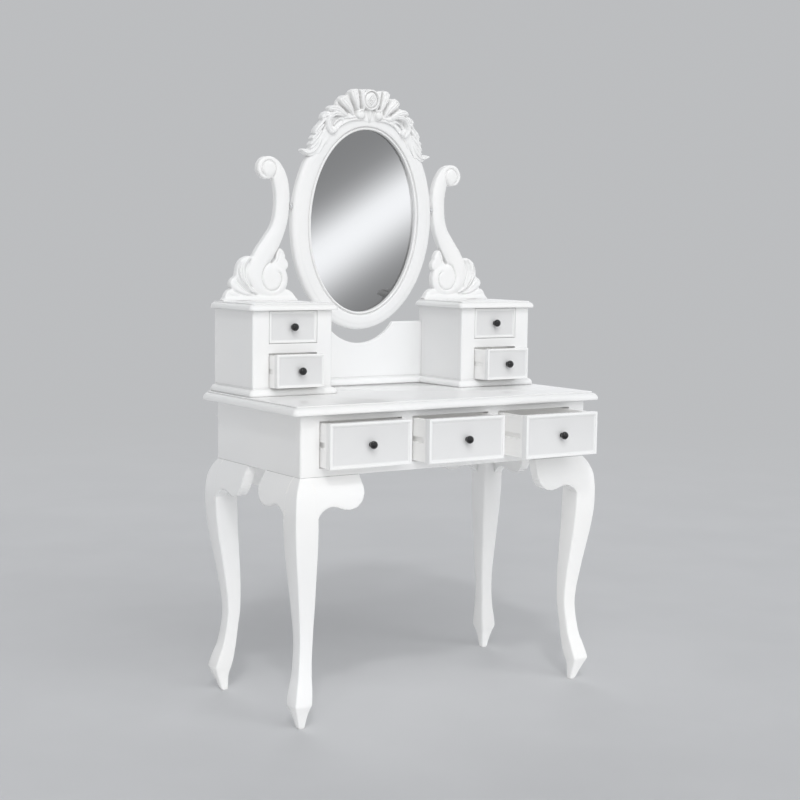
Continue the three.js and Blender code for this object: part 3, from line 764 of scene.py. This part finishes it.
def drawer_front(node, rim, slope, recess):
    """A board with a raised rim, a sloped step and a sunk field, bored for the knob's stud."""
    x0, x1, y0, y1, z0, z1 = mm(node)
    levels = [
        (0.5, y1, 0.6), (0.0, y1 - 0.5, 0.9), (0.0, y0 + 1.0, 0.9), (0.2, y0 + 0.35, 0.9),
        (0.55, y0 + 0.06, 0.8), (1.0, y0, 0.8),
        (rim - 0.45, y0, 0.6), (rim - 0.12, y0 + 0.12, 0.6), (rim, y0 + 0.4, 0.5),
        (rim + 0.12, y0 + recess * 0.42, 0.5), (rim + 0.5, y0 + recess * 0.46, 0.5),
        (rim + slope * 0.9, y0 + recess * 0.92, 0.5), (rim + slope * 1.1, y0 + recess, 0.5),
    ]
    rings = [rect_ring(x0, x1, z0, z1, inset, y, radius) for inset, y, radius in levels]
    points, faces = loft(rings)
    hole = [round_ring((x0 + x1) / 2, y, (z0 + z1) / 2, 2.5, 20) for y in (y0 - 5, y1 + 5)]
    mesh = carved_out(mesh_from(node, points, faces), loft(hole))
    # Marks the sunk field's points so the lacquer paints them a greyer shade.
    level = (y0 + recess * 0.9) / 1000
    panel = mesh.attributes.new("panel", "FLOAT", "POINT")
    for vertex in mesh.vertices:
        panel.data[vertex.index].value = 1.0 if level < vertex.co.y < level + 0.001 else 0.0
    finish_piece(mesh, node, 30)


def drawer_box(node, side, bottom, groove_at):
    """An open box with a groove in each side; groove_at is its low and high edge, depth and nose."""
    x0, x1, y0, y1, z0, z1 = mm(node)
    cutters = [box_mesh(x0 + side, x1 - side, y0 - 5, y1 - side, z0 + bottom, z1 + 9)]
    low, high, bite, nose = groove_at
    radius, middle = (high - low) / 2, (high + low) / 2
    turns = [math.radians(90 + 180 * k / 12) for k in range(13)]
    curve = [(nose + radius + radius * math.cos(t), middle + radius * math.sin(t)) for t in turns]
    outline = curve + [(y1 + 5, low), (y1 + 5, high)]
    for xa, xb in ((x0 - 5, x0 + bite), (x1 - bite, x1 + 5)):
        rings = [np.array([(x, y, z) for y, z in outline]) for x in (xa, xb)]
        cutters.append(loft(rings))
    mesh = carved_out(mesh_from(node, *box_mesh(x0, x1, y0, y1, z0, z1)), *cutters)
    bevelled(finish_piece(mesh, node, 35), 0.7, 2, "ANGLE")


def knob(node, recess):
    """Flattened ball on a turned neck, with its stud and washer behind the board."""
    x0, x1, y0, y1, z0, z1 = mm(node)
    cx, cz = (x0 + x1) / 2, (z0 + z1) / 2
    head = (x1 - x0) / 2
    reach = head * 0.9
    centre = y0 + reach
    board = mm(node.replace("_knob", "_front"))
    seat = board[2] + recess
    profile = []
    for k in range(19):
        turn = math.radians(90 - k * 130 / 18)
        profile.append((head * math.cos(turn), centre - reach * math.sin(turn)))
    neck = 0.40 * head
    profile += [(neck + 0.9, seat - 4.9), (neck, seat - 4.0), (neck + 0.3, seat - 3.2)]
    profile += [(0.55 * head, seat - 2.3), (0.62 * head, seat - 1.7), (0.64 * head, seat - 0.8)]
    profile += [(0.62 * head, seat), (2.2, seat), (2.2, board[3]), (4.4, board[3])]
    profile += [(4.5, board[3] + 1.6), (4.1, y1), (0.01, y1)]
    points, faces = loft([round_ring(cx, y, cz, max(radius, 0.01), 40) for radius, y in profile])
    finish_piece(mesh_from(node, points, faces), node, 40)


LARGE_DRAWER = {"rim": 6.0, "slope": 4.5, "recess": 3.0, "side": 12.0, "bottom": 5.0}
LARGE_GROOVE = {"half": 6.5, "depth": 5.3, "nose": 25}
SMALL_DRAWER = {"rim": 4.5, "slope": 3.8, "recess": 2.5, "side": 9.0, "bottom": 4.0}
SMALL_GROOVE = {"half": 6.0, "depth": 2.5, "nose": 22}


def drawer(body):
    large = "tower" not in body
    size, cut = (LARGE_DRAWER, LARGE_GROOVE) if large else (SMALL_DRAWER, SMALL_GROOVE)
    board = mm(f"{body}_front")
    low, high = mm(f"{body}_box")[4:]
    middle = (board[4] + board[5] - 2 + 2.7) / 2 if large else (low + high) / 2
    groove_at = (middle - cut["half"], middle + cut["half"], cut["depth"], board[2] + cut["nose"])
    drawer_front(f"{body}_front", size["rim"], size["slope"], size["recess"])
    drawer_box(f"{body}_box", size["side"], size["bottom"], groove_at)
    knob(f"{body}_knob", size["recess"])


for joint in frame["joints"]:
    if joint["type"] == "slide":
        drawer(joint["child"])

# ---- Mirror arms -----------------------------------------------------------------

ARM = mm("mirror_arm_right")
LANDING = ARM[4]

# The shaft, its top scroll and the roll of its lower volute, as one outline.
SHAFT_EDGE = smooth([
    (221, 1262), (218.8, 1233), (220.5, 1200), (224.5, 1171), (234, 1140), (247, 1111), (259, 1090),
    (271.5, 1069), (262, 1067.5), (247, 1064), (234, 1056), (226, 1043), (223, 1027), (226, 1008),
    (237, 993), (252, 985.5), (272, 983), (296, 986.5), (313, 996), (325, 1010), (332, 1028),
    (333.5, 1046), (331, 1064), (325, 1080),
    (313, 1101), (300, 1118), (285, 1138), (270, 1160), (262, 1185), (259, 1212), (259, 1238),
    (263, 1262), (268, 1277), (276, 1275.5), (284, 1275), (295, 1277.5), (304, 1284), (310, 1294),
    (311, 1304), (308, 1315), (300, 1325), (289, 1330.5), (276, 1331.5), (262, 1328), (249, 1319),
    (237, 1304), (227, 1284), (221, 1262),
], 4)[:-1]
SHELL_EDGE = smooth([
    (314, 1070), (322, 1082), (336, 1084), (350, 1079), (361, 1069), (367, 1056), (369, 1044), (371.5, 1034),
    (380, 1028), (386, 1019), (385, 1010), (381, 1003.5), (391, 999), (398, 991), (401.5, 982),
    (401, LANDING - 4), (300, LANDING - 4), (200.5, LANDING - 4), (201.5, 982), (208, 992), (220, 1000),
    (231, 1002), (245, 1010), (270, 1030), (300, 1050), (314, 1070),
], 4)[:-1]
BUD_EDGE = smooth([
    (234, 1048), (226, 1051), (222, 1058), (221.5, 1066), (224.5, 1073), (229.5, 1079), (230.5, 1087),
    (234, 1094), (239, 1101), (245, 1104), (249.5, 1101), (253.5, 1095), (256.5, 1088), (257.5, 1081),
    (258.5, 1076), (263, 1071), (266, 1066), (260, 1057), (245, 1049), (234, 1048),
], 4)[:-1]
LOWER_SPIRAL = [
    (272, 1069), (284, 1063), (293, 1051), (297.5, 1035), (295.5, 1018), (287, 1005), (274, 998.5),
    (260, 1000), (249, 1008), (243, 1020), (242.5, 1032), (246, 1041), (253, 1046),
]
UPPER_SPIRAL = [
    (269, 1278), (262.5, 1288), (260, 1301), (264, 1313), (273, 1320.5), (284, 1321), (294, 1314),
    (299, 1303), (297.5, 1291), (290.5, 1282),
]
# Each crease is a line, its width and its depth.
SHELL_CREASES = (
    ([(371, 1035), (357, 1015), (337, 998), (312, 988)], 2.6, 4.2),
    ([(381, 1004), (362, 993), (340, 987), (315, 984.5)], 2.4, 4),
    ([(362, 1062), (362, 1040), (352, 1020), (332, 1001), (310, 989)], 2.2, 2),
    ([(379, 1022), (362, 1007), (343, 994), (322, 987)], 1.8, 1.2),
    ([(392, 990), (372, 985), (350, 983.5)], 1.8, 1),
)
BESIDE_SHAFT = [(328, 1072), (336, 1062), (341, 1046), (338, 1028), (327, 1009)]
# Rows of a ridge give x, z, half width and height.
SHELL_RIBS = (
    [(336, 1079, 3, 19), (346, 1069, 5, 21), (351.5, 1050, 5.2, 21), (347, 1028, 5, 20.5),
     (334, 1008, 4.2, 20), (312, 991, 3, 19)],
    [(357, 1069, 2.6, 19.5), (361.5, 1052, 3, 20), (358, 1032, 3.2, 20), (346, 1013, 3, 19.5),
     (322, 995, 2.4, 19)],
)


def arm_field(points):
    return np.maximum.reduce([inside(points, edge) for edge in (SHAFT_EDGE, SHELL_EDGE, BUD_EDGE)])


def rounded(distance, reach):
    """0 at an edge, rising to 1 as a quarter round, reach in from it."""
    part = np.clip(distance / reach, 0, 1)
    return np.sqrt(np.clip(1 - (1 - part) ** 2, 0, 1))


def arm_height(points):
    """Height of the carving above the flat back of an arm."""
    x, z = points.T
    in_shaft = inside(points, SHAFT_EDGE)
    shaft = 15.8 + 5.6 * (1 - (1 - np.clip(in_shaft / 20, 0, 1)) ** 2)
    for line in (LOWER_SPIRAL, UPPER_SPIRAL):
        shaft -= 1.6 * np.exp(-(away(points, line) / 5.0) ** 2) + groove(points, line, 1.4, 3.0)
    shaft[in_shaft < -0.5] = 0
    in_shell = inside(points, SHELL_EDGE)
    shell = 15.6 + 1.6 * np.clip(in_shell / 6, 0, 1)
    for line, width, depth in SHELL_CREASES:
        shell -= groove(points, line, width, depth)
        shell -= 0.35 * depth * np.exp(-(away(points, line) / 7.0) ** 2)
    shell -= 6.0 * np.exp(-(away(points, BESIDE_SHAFT) / 4.5) ** 2)
    for rows in SHELL_RIBS:
        shell = laid_over(shell, *stroke(points, rows, 2.4))
    landing = np.clip((987.5 - 0.012 * (x - 240) - z) / 5.0, 0, 1)
    landing = landing * landing * (3 - 2 * landing)
    shell = shell * (1 - landing) + (19.5 - 1.2 * np.clip((z - 976) / 8, 0, 1)) * landing
    almond = np.clip(1 - ((x - 353) / 24) ** 2 - ((z - 977) / 3.6) ** 2, 0, 1)
    shell += 1.6 * np.sqrt(almond)
    shell[in_shell < -0.5] = 0
    in_bud = inside(points, BUD_EDGE)
    bud = 15.0 + 2.2 * np.clip(in_bud / 8, 0, 1)
    bud -= groove(points, [(256, 1064), (251, 1078), (247.5, 1090), (245, 1099)], 1.5, 2.6)
    bud[in_bud < -0.5] = 0
    easing = 1.6 * (1 - rounded(np.maximum.reduce([in_shaft, in_shell, in_bud]), 1.8)) * (z > LANDING + 2)
    return np.maximum.reduce([shaft, np.minimum(shell, 21.0), bud]) - easing


ARM_BACK = ARM[3]
arm_points, arm_faces = relief(
    arm_field,
    lambda points: ARM_BACK - np.clip(arm_height(points), 8.0, 21.9),
    lambda points: np.full(len(points), ARM_BACK),
    (199, 403, LANDING, 1334),
    1.5,
)
arm_points[:, 2] = np.maximum(arm_points[:, 2], LANDING)

tilt = next(j for j in frame["joints"] if j["type"] == "hinge")
PIVOT = np.array(tilt["pos_m"]) * 1000
PIVOT_BORE = 3.3


def pivot_bore(x_from, x_to):
    """A round cutter along the tilt axis."""
    turns = [math.pi * k / 12 for k in range(24)]
    circle = [(PIVOT[1] + PIVOT_BORE * math.cos(t), PIVOT[2] + PIVOT_BORE * math.sin(t)) for t in turns]
    return loft([np.array([(x, y, z) for y, z in circle]) for x in (x_from, x_to)])


for side, sign in SIDES:
    mesh = mesh_from(f"arm_{side}", arm_points * (sign, 1, 1), arm_faces)
    mesh = carved_out(mesh, pivot_bore(sign * 190, sign * 234.5))
    finish_piece(mesh, f"mirror_arm_{side}", 46)
    eased(f"mirror_pivot_{side}", 0.5)

# ---- Mirror ----------------------------------------------------------------------

LEAN = math.radians(3.4)
GLASS_DROP = 33.0
SIGHT = (159.0, 234.0)
RIM = (213.0, 281.0)
RIM_FRONT, RIM_BACK = -13.4, 9.0


def on_mirror(points):
    """Places points drawn flat about the middle of the glass on the leaning mirror."""
    x, y, z = points.T
    z = z - GLASS_DROP
    turned_y = y * math.cos(LEAN) - z * math.sin(LEAN)
    turned_z = y * math.sin(LEAN) + z * math.cos(LEAN)
    return np.column_stack([x, PIVOT[1] + turned_y, PIVOT[2] + turned_z])


# Section of the mirror frame: share of the way from sight edge to outer edge, then Y.
RIM_SECTION = (
    (0, -4), (0.003, -9.5), (0.018, -11.3), (0.045, -12.2), (0.078, -12.4), (0.106, -11.5),
    (0.128, -9.4), (0.148, -8.4), (0.166, -8.6), (0.180, -10.4), (0.192, -12.4), (0.215, -13.1),
    (0.30, -13.35), (0.48, -13.4), (0.645, -13.4), (0.655, -13.3), (0.665, -12.95), (0.74, -12.75),
    (0.84, -11.9), (0.91, -10.4), (0.96, -8.3), (0.988, -5.6), (1, -2.6), (1, 5), (0.994, 7.4),
    (0.975, 8.7), (0.95, RIM_BACK), (0.075, RIM_BACK), (0.075, -1.1), (0, -1.1),
)
RIM_STEPS = 176


def oval(share, y, turn):
    """Point at a turn round the mirror frame, a share of the way from sight edge to outer edge."""
    a, b = (sight + (outer - sight) * share for sight, outer in zip(SIGHT, RIM))
    return a * math.cos(turn), y, b * math.sin(turn)


def mirror_rim():
    turns = [2 * math.pi * k / RIM_STEPS for k in range(RIM_STEPS)]
    rings = [np.array([oval(share, y, turn) for share, y in RIM_SECTION]) for turn in turns]
    points, faces = loft(rings + [rings[0]], closed_ends=False)
    mesh = mesh_from("rim", points, faces, on_mirror)
    holes = [pivot_bore(sign * 190, sign * 225) for side, sign in SIDES]
    finish_piece(carved_out(mesh, *holes), "mirror_frame", 40)


mirror_rim()


def oval_disc(node, y_front, y_back):
    """An oval plate whose front arris is ground to a narrow bevel."""
    a, b = (sight + 3.4 for sight in SIGHT)
    turns = [2 * math.pi * k / 128 for k in range(128)]
    rings = []
    for inset, y in ((3.0, y_back), (0.4, y_back), (0.0, y_back - 0.4), (0.0, y_front + 0.9), (0.9, y_front)):
        rings.append(np.array([((a - inset) * math.cos(t), y, (b - inset) * math.sin(t)) for t in turns]))
    points, faces = loft(rings)
    finish_piece(mesh_from(node, points, faces, on_mirror), node, 30)


oval_disc("mirror_glass", -1.05, 2.9)
oval_disc("mirror_backing", 3.3, 8.9)

# Right half of the crest about the middle of the glass: outline, then its carving.
CREST_EDGE = [
    (0, 337), (10, 336.5), (17, 333.5), (22, 331.5), (29, 334), (40, 335), (50, 333), (58, 328.5),
    (62.5, 322.5), (63.5, 317.5), (68, 317), (78, 316), (88, 309.5), (95, 300), (98, 290.5), (106, 290),
    (116, 287), (121.5, 282), (121.5, 275), (128, 272.5), (135, 268.5), (140, 262), (140, 255),
    (138, 251.5), (146, 241.5), (154, 234), (160, 225), (160.5, 218), (158, 214.5), (164, 210.5),
    (168, 204.5), (165, 199), (169, 195), (172, 189), (170, 182.5), (173, 178.5), (181, 178), (190, 178),
    (195.5, 175.5), (195, 171.5), (190, 167.5), (181, 162), (171, 160), (162, 162), (153, 167),
    (145, 166), (141, 172), (133, 184), (127, 192), (123, 190), (117, 200), (110, 211), (101, 215),
    (95, 225), (84, 238), (70, 247), (52, 252), (34, 254), (18, 255), (9, 253), (0, 251),
]
BLADES = (
    [(19, 286, 4.2, 24), (23, 300, 5, 26), (24.5, 318, 7, 26.5), (24.5, 332, 9, 25.5)],
    [(34, 280, 4.6, 23), (39, 297, 8.2, 26), (45, 314, 11.6, 26.5), (49, 329, 13.6, 25)],
    [(49, 272, 5, 22), (59.5, 286, 9.8, 25.5), (71, 298, 13.2, 26), (80, 307, 14.2, 24.5)],
    [(66, 266, 4.5, 22), (79, 274, 7.6, 24.5), (94, 281, 10.4, 25), (107, 283.5, 10.4, 24),
     (117, 281, 8, 22)],
)
TEETH = (
    [(112, 272, 5, 18), (124, 267, 8.8, 21), (134, 261.5, 8.8, 20.5), (139, 258, 6.5, 19.5)],
    [(127, 257, 6, 18), (139, 248, 9.4, 21), (149, 236, 9.8, 21), (157, 224, 8.4, 20)],
    [(134, 240, 6, 18), (146, 228, 8.8, 20.5), (157, 216, 8.8, 20.5), (165, 207, 6.6, 19.5)],
    [(140, 223, 6, 18), (152, 210, 8.2, 20.5), (162, 199, 7.8, 20.5), (169, 190, 5.6, 19.5)],
    [(146, 205, 5, 18.5), (156, 193, 7.2, 20.6), (164, 184.5, 6.4, 20.3), (169, 180, 4.2, 19.3)],
)
LEAVES = (
    [(139, 208, 5, 19), (145, 196, 6.5, 21.4), (153, 183.5, 7, 22), (164, 173, 7, 22), (176, 169, 6, 22),
     (188, 171.5, 4.6, 21), (195, 174, 3, 20)],
    [(119, 216, 4.5, 18.6), (124, 206, 6, 21), (131, 194, 6.2, 21.4), (137, 183, 5, 21), (143, 171, 3, 19)],
    [(128, 236, 4, 17), (133, 222, 5, 20), (139, 208, 4.6, 20), (144, 196, 3, 19)],
)
C_SCROLL = [
    (58, 260.5, 3.4, 21), (77, 267.5, 5, 24), (96, 270.5, 7, 26), (110, 266.5, 8, 26.5),
    (119, 257.5, 8.4, 26.5), (122.5, 245, 8.4, 26.5), (120.5, 232.5, 7.8, 26), (113, 223, 6.8, 25),
    (106, 221.5, 5, 24),
]
RAIL = [
    (20, 259, 4, 20), (38, 258.5, 5, 22), (56, 255.5, 5.2, 22.6), (72, 249, 5, 22.6),
    (84, 239, 4.8, 22), (91, 230, 4.2, 21.5),
]
FILLING = (
    [(42, 266, 7, 20.5), (58, 263, 6.5, 21.5), (74, 260, 3.5, 20)],
    [(84, 259, 2.4, 17), (92, 255, 3.4, 19.5), (99, 249, 3, 20), (103, 243, 2.2, 18.5)],
    [(88, 248, 2, 16), (93, 244, 2.6, 18.5), (96, 238, 2.2, 18.5)],
)
VEINS = (
    [(118, 270), (127, 266), (136, 260)],
    [(131, 255), (142, 245), (152, 232)],
    [(138, 238), (149, 226), (160, 213)],
    [(144, 221), (155, 208), (165, 195)],
    [(149, 203), (158, 192), (166, 182)],
    [(141, 207), (149, 191), (162, 175), (178, 170), (191, 172.5)],
    [(120, 214), (127, 201), (137, 182)],
    [(130, 232), (135, 219), (141, 203)],
    [(64, 262.5), (80, 267.5), (97, 270), (110, 265.5), (118, 256), (121, 245), (119, 233)],
)


NECK = [(0, 287, 5.5, 22), (0, 279, 6.4, 24), (0, 268, 6.6, 25), (0, 260, 6, 24), (0, 255, 4, 22)]
# Each bulb is its middle, radius, foot and rise.
BULBS = ((104, 228.5, 8.6, 18, 8.0), (90, 229.5, 5.4, 17.5, 4.5), (27, 271.5, 14.6, 17, 10.5))
BULB_CURL = [
    (39, 283), (41, 271), (36, 262), (27, 259), (18.5, 262.5), (16, 271), (20, 279), (28, 280), (32, 274.5),
]
BOSS_Z = 309.5


def crest_outline():
    right = smooth(CREST_EDGE, 3)
    left = right[::-1] * (-1, 1)
    return np.vstack([right[:-1], left[:-1]])


CREST_RING = crest_outline()


def crest_field(points):
    return inside(points, CREST_RING)


def dome(points, cx, cz, a, b, power=0.5):
    """1 at the middle of an ellipse falling to 0 at its edge."""
    part = np.clip(1 - ((points[:, 0] - cx) / a) ** 2 - ((points[:, 1] - cz) / b) ** 2, 0, 1)
    return part ** power


def crest_height(points):
    """Height of the carving above the plane 4 mm behind the pivot line."""
    half = np.column_stack([np.abs(points[:, 0]), points[:, 1]])
    x, z = half.T
    within = crest_field(points)
    rim_gap = np.clip((np.sqrt((x / RIM[0]) ** 2 + (z / RIM[1]) ** 2) - 1) * 240 / 9, 0, 1)
    height = 18.2 - 7.6 * rim_gap * rim_gap * (3 - 2 * rim_gap)
    for rows in (*FILLING, *TEETH, *LEAVES):
        height = laid_over(height, *stroke(half, rows, 2.2))
    for rows in BLADES:
        ridge, own = stroke(half, rows, 5.5)
        line = smooth(rows)
        width = np.interp(nearest(half, line)[1], np.arange(len(line)), line[:, 2])
        part = 1 - own / width
        flutes = np.exp(-((part - 0.52) / 0.13) ** 2) + 0.8 * np.exp(-(part / 0.15) ** 2)
        ridge -= np.clip(width / 4.5, 0.5, 2.6) * flutes
        height = laid_over(height, ridge, own)
    # The pocket above the bulb, then the hollow inside the C scroll.
    recess = dome(half, 41, 278.5, 6.5, 8.5, 0.7)
    height -= np.clip(height - 10, 0, 14) * recess
    hollow = dome(half, 96, 247, 20, 13, 0.5) * (away(half, FILLING[1]) > 2.6)
    height -= np.clip(height - 12, 0, 5.5) * hollow
    for rows, power in ((RAIL, 2.4), (C_SCROLL, 3.2)):
        height = laid_over(height, *stroke(half, rows, power))
    for rows in VEINS:
        height -= groove(half, rows, 1.4, 2.7)
    for cx, cz, reach, level, rise in BULBS:
        bulb = dome(half, cx, cz, reach, reach * 1.05, 0.42)
        height = laid_over(height, level + rise * bulb, bulb)
    height -= groove(half, [(96, 233), (99, 223), (107, 219.5), (112, 226), (108, 232)], 1.2, 2.4)
    height -= groove(half, BULB_CURL, 1.4, 4.2)
    # The oval boss with its collar and four slanted cuts, and the neck below it.
    ring = np.abs(np.sqrt((x / 22.6) ** 2 + ((z - BOSS_Z) / 23.8) ** 2) - 1) * 23
    collar = 23 + 5.0 * np.sqrt(np.clip(1 - (ring / 2.6) ** 2, 0, 1))
    height = laid_over(height, collar, 2.6 - ring)
    boss = dome(half, 0, BOSS_Z, 20.0, 21.2, 0.55)
    height = np.where(boss > 0, 20.0 + 10.0 * boss, height)
    px, pz = points.T
    reach = dome(points, 1.0, 308.0, 15.0, 15.5, 1.0)
    for offset in (-9.0, -3.2, 2.6, 8.4):
        line = np.abs(px - 1.0 - (pz - 308.0) * 0.8 - offset) * 0.78
        height -= 3.4 * np.exp(-(line / 1.3) ** 2) * np.clip(reach * 3, 0, 1)
    height = np.where(z < 286, laid_over(height, *stroke(half, NECK, 2.6)), height)
    height -= groove(half, [(2.4, 283), (2.8, 272), (2.4, 262)], 0.9, 1.8)
    easing = 2.2 * (1 - rounded(within, 2.2))
    return np.clip(height - easing, 7.5, 30.8)


CREST_BACK = 4.0


def crest_front(points):
    return CREST_BACK - crest_height(points)


def crest_back(points):
    """Flat outside the mirror frame, and hollowed to lie on it where the carving crosses it."""
    x, z = points.T
    over = (x / (RIM[0] + 1.6)) ** 2 + (z / (RIM[1] + 1.6)) ** 2 < 1
    return np.where(over, np.maximum(RIM_FRONT + 0.6, crest_front(points) + 2.0), CREST_BACK)


crest_bounds = (-199.5, 199.5, 158, 339)
crest_points, crest_faces = relief(crest_field, crest_front, crest_back, crest_bounds, 1.5)
finish_piece(mesh_from("crest", crest_points, crest_faces, on_mirror), "mirror_crest", 60)

# ---- Stage -----------------------------------------------------------------------


SURROUND = (0.63, 0.64, 0.655, 1)
SEEN, LIT, SHINE = 0.80, 0.55, 1.45
FLOOR_REACH = 14000


def ray_strength(tree):
    """Strength of the surroundings: as seen, as a soft fill on the piece, and in its reflections."""
    path = tree.nodes.new("ShaderNodeLightPath")
    strength = SEEN
    for ray, other in (("Is Diffuse Ray", LIT), ("Is Glossy Ray", SHINE)):
        pick = tree.nodes.new("ShaderNodeMix")
        tree.links.new(path.outputs[ray], pick.inputs[0])
        if isinstance(strength, float):
            pick.inputs[2].default_value = strength
        else:
            tree.links.new(strength, pick.inputs[2])
        pick.inputs[3].default_value = other
        strength = pick.outputs[0]
    return strength


def stage():
    """Plain pale floor that fades into the pale surroundings."""
    rim = round_ring(0, 0, 0, FLOOR_REACH, 96)[:, (0, 2, 1)]
    points, faces = loft([rim - (0, 0, 30), rim])
    mesh = mesh_from("floor", points, faces)
    floor = bpy.data.objects.new("floor", mesh)
    bpy.context.scene.collection.objects.link(floor)
    n = Nodes("pale_floor")
    soft = n.noise(2.0, 3.0)
    tint = n.mix(n.span(soft, 0.3, 0.7), (0.57, 0.577, 0.59, 1), (0.59, 0.597, 0.61, 1))
    path = n.add("ShaderNodeLightPath")
    tint = n.mix(path.outputs["Is Diffuse Ray"], tint, (0.93, 0.93, 0.93, 1))
    n.set(Base_Color=tint, Roughness=0.75, Specular_IOR_Level=0.2)
    far = n.add("ShaderNodeVectorMath", operation="LENGTH")
    n.put(far.inputs[0], n.place)
    glow = n.add("ShaderNodeEmission", Color=SURROUND, Strength=ray_strength(n.tree))
    blend = n.add("ShaderNodeMixShader", Fac=n.span(far.outputs["Value"], 1.8, 6.5))
    n.put(blend.inputs[1], n.shader.outputs[0])
    n.put(blend.inputs[2], glow.outputs[0])
    output = next(node for node in n.tree.nodes if node.type == "OUTPUT_MATERIAL")
    n.put(output.inputs["Surface"], blend.outputs[0])
    mesh.materials.append(n.material)


def lights():
    """Even surroundings, a small key light and two broad ones; only the key shows in reflections."""
    world = bpy.data.worlds.new("studio")
    bpy.context.scene.world = world
    world.use_nodes = True
    tree = world.node_tree
    background = tree.nodes["Background"]
    background.inputs["Color"].default_value = SURROUND
    tree.links.new(ray_strength(tree), background.inputs["Strength"])
    for name, towards, power, angle in (
        ("key", (-28, -45, 59), 0.40, 5.0),
        ("front", (-8, -60, 38), 1.75, 75.0),
        ("back", (30, 60, 18), 1.20, 45.0),
    ):
        sun = bpy.data.lights.new(name, "SUN")
        sun.energy = power
        sun.angle = math.radians(angle)
        lamp = bpy.data.objects.new(name, sun)
        bpy.context.scene.collection.objects.link(lamp)
        lamp.visible_glossy = name == "key"
        lamp.rotation_euler = Vector(towards).to_track_quat("Z", "Y").to_euler()


def camera():
    """Camera at the height of a person's chest, in front and to the left."""
    yaw, pitch, roll = (math.radians(v) for v in (33.93, 5.76, 0.75))
    forward = Vector((math.sin(yaw) * math.cos(pitch), math.cos(yaw) * math.cos(pitch), -math.sin(pitch)))
    level = Vector((math.cos(yaw), -math.sin(yaw), 0))
    rise = level.cross(forward)
    right = level * math.cos(roll) + rise * math.sin(roll)
    up = rise * math.cos(roll) - level * math.sin(roll)
    view = bpy.data.cameras.new("view")
    view.sensor_width = 36
    view.lens = 69.9
    view.shift_x = 0.0086
    view.shift_y = 0.0074
    view.clip_end = 100
    eye = bpy.data.objects.new("view", view)
    bpy.context.scene.collection.objects.link(eye)
    turn = Matrix((right, up, -forward)).transposed().to_4x4()
    eye.matrix_world = Matrix.Translation((-2.1918, (ORIGIN_Y - 3007.0) / 1000, 1.1054)) @ turn
    bpy.context.scene.camera = eye


stage()
lights()
camera()
bpy.context.scene.view_settings.view_transform = "Standard"
